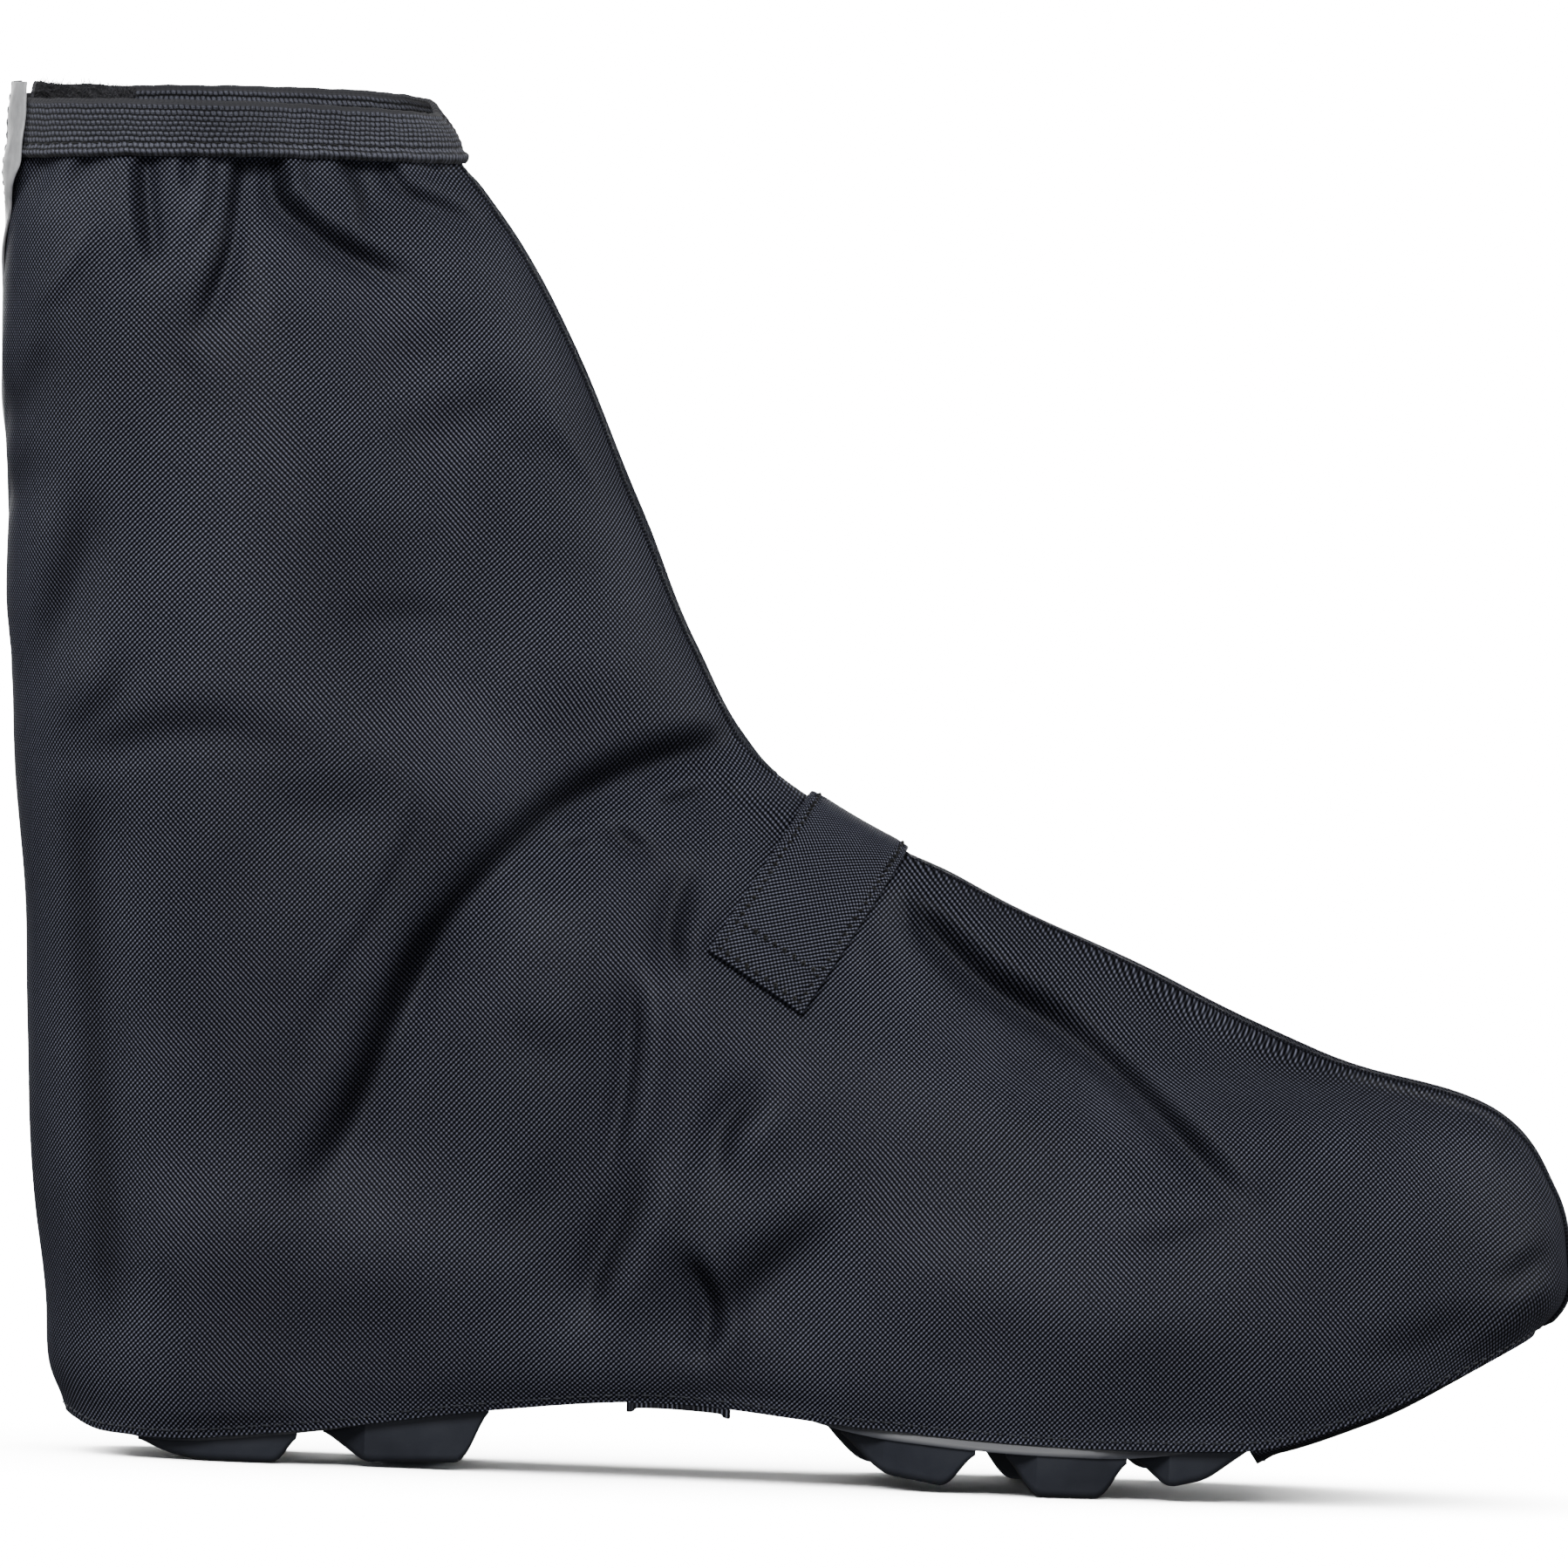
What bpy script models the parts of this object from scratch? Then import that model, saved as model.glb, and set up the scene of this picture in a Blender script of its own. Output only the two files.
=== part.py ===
"""Cycling overshoe for the right foot: a woven rain cover with an elastic collar and a lugged sole.

Tables are in millimetres, and add_solid() turns them into metres. X runs from heel to toe,
Y from the lateral (outer) side to the medial side, and Z up from the floor.
The whole cover is one surface, last_point(level, turn): a level picks a ring between hem and collar,
and a turn goes round that ring, from the heel (0) by the lateral side to the toe (pi) and back.
"""

import math
from collections import namedtuple

import bmesh
import bpy
import numpy as np
from mathutils import Vector

MM = 0.001

# Driving sizes
WALL = 1.2  # coated fabric and its lining
GAP = 0.3  # between pieces that meet
TOE_SWING = 9.0  # the toe's shift to the medial side
SWING_FROM, SWING_TO = 190.0, 341.0
MEDIAL_ARCH = 4.0  # how much narrower the waist is on the medial side
COLLAR_ARCH = 2.2  # the collar stands this much higher along its sides than at its back and front
TOE_RISE = 3.0  # power of the rise of a ring towards the toe
HEM_FADE = 4.0  # rings above the hem over which its arch fades out
HEEL_AT, WAIST_AT, BALL_AT = 0.20, 0.45, 0.72  # stations along a ring, as shares of its length
BACK_POWER = 2.2  # roundness of the heel in plan

# Mesh density
TURNS = 60
FOOT_ROWS, ANKLE_ROWS, SHAFT_ROWS = 11, 10, 7
FIRST_ROW = 0.6  # level of the upper's second row of points

# Rings of the last, from the hem to the collar's rim. heel, waist and ball are half-widths at the
# stations above. The noses are the lengths over which the two ends round off in plan.
Ring = namedtuple(
    "Ring", "name back_x back_z front_x front_z heel waist ball back_nose front_nose front_power"
)
RINGS = [
    Ring("hem", 24.0, 8.6, 335.0, 36.5, 34.0, 40.0, 52.0, 38.0, 70.0, 2.4),
    Ring("heel_curve", 19.6, 18.5, 340.5, 43.0, 37.0, 43.5, 54.0, 42.0, 74.0, 2.4),
    Ring("toe_tip", 18.2, 33.0, 341.5, 50.5, 39.0, 45.0, 54.0, 44.0, 78.0, 2.4),
    Ring("toe_face", 16.4, 50.0, 338.0, 66.5, 41.0, 46.0, 52.5, 45.0, 84.0, 2.2),
    Ring("toe_top", 14.6, 70.0, 325.0, 82.5, 42.5, 46.0, 49.0, 46.0, 95.0, 2.0),
    Ring("vamp", 12.8, 92.0, 287.0, 93.0, 44.0, 46.0, 44.0, 47.0, 110.0, 1.8),
    Ring("ball", 11.2, 113.0, 245.0, 111.6, 45.5, 46.5, 41.0, 48.0, 110.0, 1.8),
    Ring("instep", 9.4, 134.0, 205.2, 129.3, 46.5, 47.0, 39.0, 49.0, 100.0, 1.8),
    Ring("ankle", 7.6, 156.0, 168.2, 150.0, 47.0, 47.5, 38.0, 50.0, 88.0, 1.85),
    Ring("shaft_low", 6.2, 176.0, 150.4, 175.5, 47.0, 48.0, 39.0, 51.0, 76.0, 1.9),
    Ring("shaft_mid", 4.2, 204.0, 137.4, 203.5, 46.5, 48.0, 39.0, 52.0, 70.0, 1.9),
    Ring("shaft_high", 2.4, 234.0, 124.4, 234.0, 44.5, 46.0, 37.5, 50.0, 64.0, 1.95),
    Ring("gather", 2.0, 258.0, 110.2, 258.4, 41.0, 42.5, 35.0, 47.0, 58.0, 2.0),
    Ring("band_low", 3.6, 273.6, 97.6, 275.6, 36.0, 37.5, 31.0, 43.0, 50.0, 2.0),
    Ring("rim", 4.4, 286.6, 90.8, 287.6, 35.5, 37.0, 30.5, 42.0, 48.0, 2.0),
]
LEVEL = {ring.name: index for index, ring in enumerate(RINGS)}
UPPER_TOP = LEVEL["band_low"] + 0.25  # the fabric's own top edge, inside the elastic

# Height of the hem along the side of the foot: heel, arch, ball and toe spring.
Station = namedtuple("Station", "x z")
HEM = [
    Station(24.0, 8.6),
    Station(38.0, 5.0),
    Station(70.0, 7.0),
    Station(114.0, 13.4),
    Station(148.0, 16.6),
    Station(188.0, 13.6),
    Station(232.0, 11.2),
    Station(264.0, 11.2),
    Station(277.0, 12.0),
    Station(298.0, 18.8),
    Station(320.0, 29.0),
    Station(335.0, 36.5),
]

# Sole plate: how far its underside hangs below the hem, and how far its rand stands out there.
SoleEdge = namedtuple("SoleEdge", "x drop flare")
SOLE_EDGE = [
    SoleEdge(24.0, -0.8, 0.0),
    SoleEdge(40.0, 0.6, 0.0),
    SoleEdge(76.0, 0.8, 0.0),
    SoleEdge(114.0, -0.6, 0.0),
    SoleEdge(132.0, -1.5, 0.0),
    SoleEdge(172.0, -1.4, 0.0),
    SoleEdge(188.0, 1.4, 0.0),
    SoleEdge(196.0, 2.3, 0.0),
    SoleEdge(206.0, 2.4, 2.3),
    SoleEdge(236.0, 2.4, 2.3),
    SoleEdge(246.0, 2.3, 0.0),
    SoleEdge(256.0, 1.5, 0.0),
    SoleEdge(264.0, 0.4, 0.0),
    SoleEdge(274.0, -0.5, 0.0),
    SoleEdge(335.0, -0.5, 0.0),
]
SOLE_THICKNESS = 3.0
RAND_HEIGHT = 1.2
RAND_SHOULDER = 0.7
SOLE_COLUMNS = 6

# Lugs of one side, rear to front. The rear face of a lug is cut back in plan by its chamfer.
Lug = namedtuple("Lug", "name rear_top rear_low front_low front_top rear_z front_z width chamfer curve")
LUGS = [
    Lug("heel_rear", 40.0, 56.0, 70.0, 73.5, 0.0, 0.0, 22.0, 3.0, 2.2),
    Lug("heel_front", 79.0, 88.0, 109.0, 114.0, 0.9, 1.6, 25.0, 9.0, 1.0),
    Lug("ball_rear", 188.5, 198.0, 211.0, 217.0, 3.2, 1.2, 27.0, 6.0, 1.2),
    Lug("ball", 223.5, 230.0, 244.0, 249.0, 0.0, 0.0, 29.0, 5.0, 1.2),
    Lug("toe", 251.0, 258.0, 266.0, 275.5, 2.8, 4.8, 27.0, 8.0, 1.2),
]
MEDIAL_SHIFT = {"heel_rear": 0.0, "heel_front": 0.0, "ball_rear": -5.0, "ball": -6.0, "toe": -5.0}
LUG_ROOT = 1.5  # how far a lug runs up into the plate
LUG_SKIN = 0.4  # its ends start this far below the plate
LUG_DRAFT = 0.22
LUG_INSET = 0.4
RAMP_STEPS = 3

# Bands and overlays
BAND_THICKNESS = 1.5
BAND_FROM = LEVEL["band_low"]
STRAP_WIDTH = 24.0
STRAP_SLOPE = math.radians(58.4)  # of the strap's run, seen from the side
STRAP_CENTRE = (176.5, 122.0)
STRAP_END = 19.4  # from that centre to the strap's free end, along its run
STRAP_LIFT, STRAP_THICKNESS = 0.6, 1.3
STRAP_COLUMNS, STRAP_ROWS = 5, 13
SEAM_HALF_WIDTH = 4.0
SEAM_THICKNESS = 0.6
SEAM_COLUMNS = 5
SHAFT_SEAM = (8.08, BAND_FROM - 0.06)
FOOT_SEAM = (0.15, 7.08)
FLAP_LIFT, FLAP_THICKNESS = 0.5, 1.0
FLAP_LEVELS = (7.5, LEVEL["rim"])
FLAP_RISE = (LEVEL["gather"] + 0.1, LEVEL["gather"] + 0.75)  # where it climbs over the elastic
FLAP_PULL = 20.0  # the elastic draws the flap this far to the lateral side at the rim
PULL_RISE = (LEVEL["gather"] + 0.2, LEVEL["rim"])
FLAP_COLUMNS = 6
TAPE_Y = (8.0, 20.0)  # from the back's middle, towards the medial side
FLAP_Y = (20.3, 35.0)
PATCH_THICKNESS = 1.2
PATCH_Y = (3.0, 33.0)
PATCH_LEVELS = (LEVEL["gather"] + 0.3, LEVEL["rim"])
PATCH_COLUMNS = 6
ARCH_STRAP_X = (143.0, 165.0)
ARCH_STRAP_THICKNESS, ARCH_STRAP_EDGE = 1.3, 2.1
TOE_PANEL_FROM = 276.3
TOE_PANEL_THICKNESS, TOE_PANEL_EDGE = 2.2, 4.2
TOE_PANEL_ROWS, TOE_PANEL_COLUMNS = 10, 6

# Colours of the pieces, linear RGB, with roughness
FABRIC = ((0.018, 0.020, 0.026), 0.75)
ELASTIC = ((0.022, 0.023, 0.028), 0.85)
RUBBER = ((0.016, 0.018, 0.022), 0.55)
REFLECTIVE = ((0.55, 0.57, 0.60), 0.40)


def smooth(knots, values, at):
    """A cubic curve through the knots, with slopes from their neighbours, held level past the ends."""
    knots, values = np.asarray(knots, float), np.asarray(values, float)
    at = np.clip(np.asarray(at, float), knots[0], knots[-1])
    slopes = np.gradient(values, knots)
    left = np.clip(np.searchsorted(knots, at, side="right") - 1, 0, len(knots) - 2)
    step = knots[left + 1] - knots[left]
    share = (at - knots[left]) / step
    rise = values[left + 1] - values[left]
    enter, leave = slopes[left] * step, slopes[left + 1] * step
    bend = share * (1 - share) * ((1 - share) * (enter - rise) + share * (rise - leave))
    return values[left] + share * rise + bend


def ease(low, high, at):
    share = np.clip((np.asarray(at, float) - low) / (high - low), 0, 1)
    return share * share * (3 - 2 * share)


def column(table, name):
    return [getattr(row, name) for row in table]


def ring_value(name, level):
    return smooth(range(len(RINGS)), column(RINGS, name), level)


def hem_height(x):
    return smooth(column(HEM, "x"), column(HEM, "z"), x)


def nose(distance, length, power):
    """Share of the full half-width at a distance from a ring's rounded end."""
    reach = np.clip(1 - distance / length, 0, 1)
    return (1 - reach**power) ** (1 / power)


def half_width(level, share, length, medial):
    """Half-width of a ring at a share of its length, on the medial or the lateral side."""
    heel, waist, ball = (ring_value(name, level) for name in ("heel", "waist", "ball"))
    arch = MEDIAL_ARCH * medial * np.clip(1 - level / LEVEL["vamp"], 0, 1)
    to_waist = ease(HEEL_AT, WAIST_AT, share)
    to_ball = ease(WAIST_AT, BALL_AT, share)
    body = heel + (waist - arch - heel) * to_waist + (ball - waist + arch) * to_ball
    back = nose(share * length, ring_value("back_nose", level), BACK_POWER)
    front = nose((1 - share) * length, ring_value("front_nose", level), ring_value("front_power", level))
    return body * back * front


def last_point(level, turn):
    """The outer surface of the cover, as an array with x, y and z last."""
    level, turn = np.broadcast_arrays(np.asarray(level, float), np.asarray(turn, float))
    share = (1 - np.cos(turn)) / 2
    back_x, front_x = ring_value("back_x", level), ring_value("front_x", level)
    back_z, front_z = ring_value("back_z", level), ring_value("front_z", level)
    x = back_x + (front_x - back_x) * share
    side = -np.sign(np.sin(turn))
    half = half_width(level, share, front_x - back_x, side > 0)
    y = TOE_SWING * ease(SWING_FROM, SWING_TO, x) + side * half
    rise = share**TOE_RISE
    flat_hem = RINGS[0].back_z + (RINGS[0].front_z - RINGS[0].back_z) * rise
    fade = np.clip(1 - level / HEM_FADE, 0, 1) ** 2
    z = back_z + (front_z - back_z) * rise + (hem_height(x) - flat_hem) * fade
    z = z + COLLAR_ARCH * np.sin(turn) ** 2 * ease(LEVEL["gather"] - 0.5, LEVEL["band_low"], level)
    return np.stack([x, y, z], axis=-1)


def last_normal(level, turn):
    """Unit normal of the outer surface, pointing out."""
    step = 1e-3
    low = np.maximum(np.asarray(level, float) - step, 0)
    high = np.minimum(np.asarray(level, float) + step, len(RINGS) - 1)
    along = last_point(level, turn + step) - last_point(level, turn - step)
    up = last_point(high, turn) - last_point(low, turn)
    normal = np.cross(along, up)
    return normal / np.linalg.norm(normal, axis=-1, keepdims=True)


def offset_point(level, turn, offset):
    """A point that lies offset outside the cover's surface, or inside it where offset is negative."""
    return last_point(level, turn) + last_normal(level, turn) * np.asarray(offset, float)[..., None]


def solve(function, low, high, steps=40):
    """Where a rising function of arrays crosses zero between two arrays of bounds."""
    low, high = np.array(low, float), np.array(high, float)
    for _ in range(steps):
        middle = (low + high) / 2
        below = function(middle) < 0
        low, high = np.where(below, middle, low), np.where(below, high, middle)
    return (low + high) / 2


def hem_turn(x, medial):
    """The turn at which the hem's ring passes x on one side."""
    share = (np.asarray(x, float) - RINGS[0].back_x) / (RINGS[0].front_x - RINGS[0].back_x)
    lateral = np.arccos(np.clip(1 - 2 * share, -1, 1))
    return 2 * math.pi - lateral if medial else lateral


def width_turn(level, width, at_toe, medial):
    """The turn at which a ring is width wide on one side, near its toe end or its heel end."""
    level, width = np.broadcast_arrays(np.asarray(level, float), np.asarray(width, float))
    length = ring_value("front_x", level) - ring_value("back_x", level)

    def short_of(angle):
        share = (1 - np.cos(math.pi - angle if at_toe else angle)) / 2
        return half_width(level, share, length, medial) - width

    angle = solve(short_of, np.zeros(level.shape), np.full(level.shape, math.pi / 3))
    lateral = math.pi - angle if at_toe else angle
    return 2 * math.pi - lateral if medial else lateral


def inside_ring(turn, z):
    """The ring at height z, a gap inside the upper's wall, and straight down from the hem below it."""
    inset = np.full(turn.shape, -(WALL + GAP))
    hem = offset_point(np.zeros(turn.shape), turn, inset)
    above = offset_point(np.full(turn.shape, FIRST_ROW), turn, inset)
    share = np.clip((z - hem[..., 2]) / (above[..., 2] - hem[..., 2]), 0, 1)
    ring = hem + (above - hem) * share[..., None]
    ring[..., 2] = z
    return ring


def material(name, finish):
    colour, roughness = finish
    made = bpy.data.materials.new(name)
    made.use_nodes = True
    shader = made.node_tree.nodes["Principled BSDF"]
    shader.inputs["Base Color"].default_value = (*colour, 1.0)
    shader.inputs["Roughness"].default_value = roughness
    shader.inputs["Metallic"].default_value = 0.0
    return made


def add_solid(name, points, faces, finish, parent):
    """One closed, outward-facing mesh object from points in millimetres."""
    mesh = bpy.data.meshes.new(name)
    mesh.from_pydata([tuple(p * MM for p in point) for point in points], [], faces)
    shape = bmesh.new()
    shape.from_mesh(mesh)
    bmesh.ops.recalc_face_normals(shape, faces=shape.faces)
    shape.to_mesh(mesh)
    shape.free()
    mesh.materials.append(material(name, finish))
    mesh.shade_smooth()
    mesh.set_sharp_from_angle(angle=math.radians(40))
    made = bpy.data.objects.new(name, mesh)
    bpy.context.scene.collection.objects.link(made)
    made.parent = parent
    return made


def grid_faces(rows, columns, start, closed):
    """Quads of a grid of points that begins at index start, closed round its columns or open."""
    faces = []
    for row in range(rows - 1):
        for col in range(columns if closed else columns - 1):
            right = (col + 1) % columns
            here, above = start + row * columns, start + (row + 1) * columns
            faces.append((here + col, here + right, above + right, above + col))
    return faces


def ring_shell(outer, inner):
    """Points and faces of a wall between two closed grids of rings of the same size."""
    rows, columns = outer.shape[:2]
    second = rows * columns
    faces = grid_faces(rows, columns, 0, True) + grid_faces(rows, columns, second, True)
    for row in (0, rows - 1):
        for col in range(columns):
            right = (col + 1) % columns
            a, b = row * columns + col, row * columns + right
            faces.append((a, b, second + b, second + a))
    return np.concatenate([outer.reshape(-1, 3), inner.reshape(-1, 3)]), faces


def sheet_shell(outer, inner):
    """Points and faces of a strip between two open grids of the same size."""
    rows, columns = outer.shape[:2]
    second = rows * columns
    faces = grid_faces(rows, columns, 0, False) + grid_faces(rows, columns, second, False)
    edge = [(0, col) for col in range(columns)]
    edge += [(row, columns - 1) for row in range(1, rows)]
    edge += [(rows - 1, col) for col in range(columns - 2, -1, -1)]
    edge += [(row, 0) for row in range(rows - 2, 0, -1)]
    loop = [row * columns + col for row, col in edge]
    for a, b in zip(loop, loop[1:] + loop[:1]):
        faces.append((a, b, second + b, second + a))
    return np.concatenate([outer.reshape(-1, 3), inner.reshape(-1, 3)]), faces


def overlay(level, turn, base, thickness):
    """A strip that lies base above the cover's surface, over a grid of levels and turns."""
    base = np.broadcast_to(np.asarray(base, float), level.shape)
    return sheet_shell(offset_point(level, turn, base + thickness), offset_point(level, turn, base))


def rows_between(low, high):
    """The upper's own rows between two levels, with those two at the ends."""
    foot = np.linspace(0, LEVEL["ball"], FOOT_ROWS)
    ankle = np.linspace(LEVEL["ball"], LEVEL["shaft_low"], ANKLE_ROWS)
    shaft = np.linspace(LEVEL["shaft_low"], BAND_FROM, SHAFT_ROWS)
    rows = np.concatenate([foot[:-1], ankle[:-1], shaft, [UPPER_TOP, LEVEL["rim"]]])
    between = rows[(rows > low + 0.05) & (rows < high - 0.05)]
    return np.concatenate([[low], between, [high]])


def add_upper(finish, parent):
    level = rows_between(0, UPPER_TOP)[:, None]
    turn = np.linspace(0, 2 * math.pi, TURNS, endpoint=False)[None, :]
    level, turn = np.broadcast_arrays(level, turn)
    wall = np.full(level.shape, -WALL)
    points, faces = ring_shell(last_point(level, turn), offset_point(level, turn, wall))
    return add_solid("upper", points, faces, finish, parent)


def add_collar_band(finish, parent):
    level = np.array([BAND_FROM, UPPER_TOP, LEVEL["rim"]])[:, None]
    turn = np.linspace(0, 2 * math.pi, TURNS, endpoint=False)[None, :]
    level, turn = np.broadcast_arrays(level, turn)
    inner = offset_point(level, turn, np.full(level.shape, GAP))
    outer = offset_point(level, turn, np.full(level.shape, GAP + BAND_THICKNESS))
    points, faces = ring_shell(outer, inner)
    return add_solid("collar_band", points, faces, finish, parent)


def sole_underside(x):
    return hem_height(x) - smooth(column(SOLE_EDGE, "x"), column(SOLE_EDGE, "drop"), x)


def sole_rand(turn, hem_x):
    """The plate's outline where it shows below the hem, flared out at the ball."""
    flare = smooth(column(SOLE_EDGE, "x"), column(SOLE_EDGE, "flare"), hem_x)
    return offset_point(np.zeros(turn.shape), turn, flare - WALL - GAP)


def sole_plate():
    """Points and faces of the plate that closes the upper's underside."""
    turn = np.linspace(0, 2 * math.pi, TURNS, endpoint=False)
    hem_x = last_point(np.zeros(TURNS), turn)[..., 0]
    low = sole_underside(hem_x)
    rand = sole_rand(turn, hem_x)
    bottom, shoulder = rand.copy(), rand.copy()
    bottom[..., 2] = low
    shoulder[..., 2] = low + RAND_HEIGHT
    under_hem = inside_ring(turn, low + RAND_HEIGHT + RAND_SHOULDER)
    top = inside_ring(turn, low + SOLE_THICKNESS)
    rows = np.stack([bottom, shoulder, under_hem, top])
    points = list(rows.reshape(-1, 3))
    faces = grid_faces(len(rows), TURNS, 0, True)
    for ring, first in ((bottom, 0), (top, TURNS * (len(rows) - 1))):
        faces += ladder(points, ring, first)
    return points, faces


def ladder(points, ring, first):
    """Faces across a ring from its lateral to its medial side, with new points between them."""
    half = len(ring) // 2
    steps = [[first]]
    for rung in range(1, half):
        other = len(ring) - rung
        row = [first + rung]
        for col in range(1, SOLE_COLUMNS):
            points.append(ring[rung] + (ring[other] - ring[rung]) * col / SOLE_COLUMNS)
            row.append(len(points) - 1)
        steps.append(row + [first + other])
    steps.append([first + half])
    faces = []
    for near, far in zip(steps, steps[1:]):
        for col in range(SOLE_COLUMNS):
            quad = [near[min(col, len(near) - 1)], near[min(col + 1, len(near) - 1)]]
            quad += [far[min(col + 1, len(far) - 1)], far[min(col, len(far) - 1)]]
            faces.append(tuple(dict.fromkeys(quad)))
    return faces


def lug_profile(lug):
    """Stations of a lug from rear to front, as rows of x, height of its foot and chamfer in plan."""
    stations = []
    for step in range(RAMP_STEPS):
        share = step / RAMP_STEPS
        x = lug.rear_top + (lug.rear_low - lug.rear_top) * share
        start = sole_underside(lug.rear_top) - LUG_SKIN
        stations.append((x, lug.rear_z + (start - lug.rear_z) * (1 - share) ** lug.curve, 1 - share))
    stations.append((lug.rear_low, lug.rear_z, 0.0))
    stations.append((lug.front_low, lug.front_z, 0.0))
    stations.append((lug.front_top, sole_underside(lug.front_top) - LUG_SKIN, 0.0))
    return stations


def lug_solid(lug, medial):
    """Points and faces of one lug, whose outer face follows the edge of the sole."""
    inward = -1.0 if medial else 1.0
    points = []
    for x, foot, cut in lug_profile(lug):
        turn = np.array([hem_turn(x, medial)])
        edge = sole_rand(turn, np.array([x]))[0]
        root = float(sole_underside(x)) + LUG_ROOT
        lean = LUG_DRAFT * (root - foot)
        outer = edge[1] + inward * (LUG_INSET + lug.chamfer * cut)
        inner = edge[1] + inward * (LUG_INSET + lug.width)
        points.append((x, outer, root))
        points.append((x, outer + inward * lean, foot))
        points.append((x, inner - inward * lean, foot))
        points.append((x, inner, root))
    last = len(points) - 4
    faces = grid_faces(len(points) // 4, 4, 0, True) + [(0, 1, 2, 3), (last, last + 1, last + 2, last + 3)]
    return points, faces


def add_outsole(finish, parent):
    points, faces = sole_plate()
    outsole = add_solid("outsole", points, faces, finish, parent)
    points, faces = [], []
    for lug in LUGS:
        for medial in (False, True):
            shift = MEDIAL_SHIFT[lug.name] if medial else 0.0
            ends = ("rear_top", "rear_low", "front_low", "front_top")
            moved = lug._replace(**{end: getattr(lug, end) + shift for end in ends})
            more_points, more_faces = lug_solid(moved, medial)
            faces += [tuple(len(points) + corner for corner in face) for face in more_faces]
            points += more_points
    lugs = add_solid("lug_cutter", points, faces, finish, parent)
    lugs.hide_render = True
    lugs.display_type = "WIRE"
    union = outsole.modifiers.new("lugs", "BOOLEAN")
    union.operation = "UNION"
    union.object = lugs
    return outsole


def add_toe_panel(finish, parent):
    """The fabric panel sewn to the hem under the toe, with a bound rear edge."""
    first = float(hem_turn(TOE_PANEL_FROM, False))
    top, bottom = [], []
    for row in range(TOE_PANEL_ROWS):
        turn = first + (math.pi - first) * row / (TOE_PANEL_ROWS - 0.5)
        sides = np.array([turn, 2 * math.pi - turn])
        ends = offset_point(np.zeros(2), sides, np.full(2, -GAP))
        shares = np.linspace(0, 1, TOE_PANEL_COLUMNS)[:, None]
        strip = ends[0] + (ends[1] - ends[0]) * shares
        under = strip.copy()
        strip[:, 2] = hem_height(strip[:, 0]) - GAP
        under[:, 2] = strip[:, 2] - (TOE_PANEL_EDGE if row == 0 else TOE_PANEL_THICKNESS)
        top.append(strip)
        bottom.append(under)
    points, faces = sheet_shell(np.array(top), np.array(bottom))
    return add_solid("toe_panel", points, faces, finish, parent)


def add_underfoot_strap(finish, parent):
    """The band that runs under the arch from hem to hem, with thicker bound edges."""
    rear, front = ARCH_STRAP_X
    binding = 1.6
    stations = [rear, rear + binding, (rear + front) / 2, front - binding, front]
    depth = [ARCH_STRAP_EDGE, ARCH_STRAP_THICKNESS, ARCH_STRAP_THICKNESS]
    depth += [ARCH_STRAP_THICKNESS, ARCH_STRAP_EDGE]
    top, bottom = [], []
    for x, thickness in zip(stations, depth):
        sides = np.array([hem_turn(x, False), hem_turn(x, True)])
        ends = offset_point(np.zeros(2), sides, np.full(2, -GAP))
        strip = ends[0] + (ends[1] - ends[0]) * np.linspace(0, 1, SOLE_COLUMNS)[:, None]
        strip[:, 2] = hem_height(x) - GAP
        top.append(strip)
        bottom.append(strip - np.array([0, 0, thickness]))
    points, faces = sheet_shell(np.array(top), np.array(bottom))
    return add_solid("underfoot_strap", points, faces, finish, parent)


def strap_side(across, medial):
    """Levels and turns of one line along the strap, from its end to the ridge of the instep."""
    run = np.array([-math.cos(STRAP_SLOPE), -math.sin(STRAP_SLOPE)])
    out = np.array([math.sin(STRAP_SLOPE), -math.cos(STRAP_SLOPE)])
    centre = np.array(STRAP_CENTRE)

    def side_view(level, turn):
        return last_point(level, turn)[..., [0, 2]] - centre

    def level_on_line(turn):
        bounds = np.full(turn.shape, 3.0), np.full(turn.shape, 9.5)
        return solve(lambda v: across - side_view(v, turn) @ out, *bounds)

    def past_end(turn):
        return STRAP_END - side_view(level_on_line(turn), turn) @ run

    end = solve(past_end, np.array([1.2]), np.array([math.pi - 0.05]))[0]
    turn = np.linspace(end, math.pi, STRAP_ROWS)
    return level_on_line(turn), 2 * math.pi - turn if medial else turn


def add_instep_strap(finish, parent):
    """The strap over the instep, from its free end on the lateral side to its sewn medial end."""
    levels, turns = [], []
    for across in np.linspace(-STRAP_WIDTH / 2, STRAP_WIDTH / 2, STRAP_COLUMNS):
        near_level, near_turn = strap_side(across, False)
        far_level, far_turn = strap_side(across, True)
        levels.append(np.concatenate([near_level, far_level[-2::-1]]))
        turns.append(np.concatenate([near_turn, far_turn[-2::-1]]))
    points, faces = overlay(np.array(levels).T, np.array(turns).T, STRAP_LIFT, STRAP_THICKNESS)
    return add_solid("instep_strap", points, faces, finish, parent)


def add_front_seam(name, span, finish, parent):
    """The raised centre seam along the front ridge, between two levels."""
    level = rows_between(*span)[:, None]
    width = np.linspace(-SEAM_HALF_WIDTH, SEAM_HALF_WIDTH, SEAM_COLUMNS)[None, :]
    level, width = np.broadcast_arrays(level, width)
    lateral = width_turn(level, np.maximum(-width, 0), True, False)
    medial = width_turn(level, np.maximum(width, 0), True, True)
    turn = np.where(width < 0, lateral, np.where(width > 0, medial, math.pi))
    points, faces = overlay(level, turn, GAP, SEAM_THICKNESS)
    return add_solid(name, points, faces, finish, parent)


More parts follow.
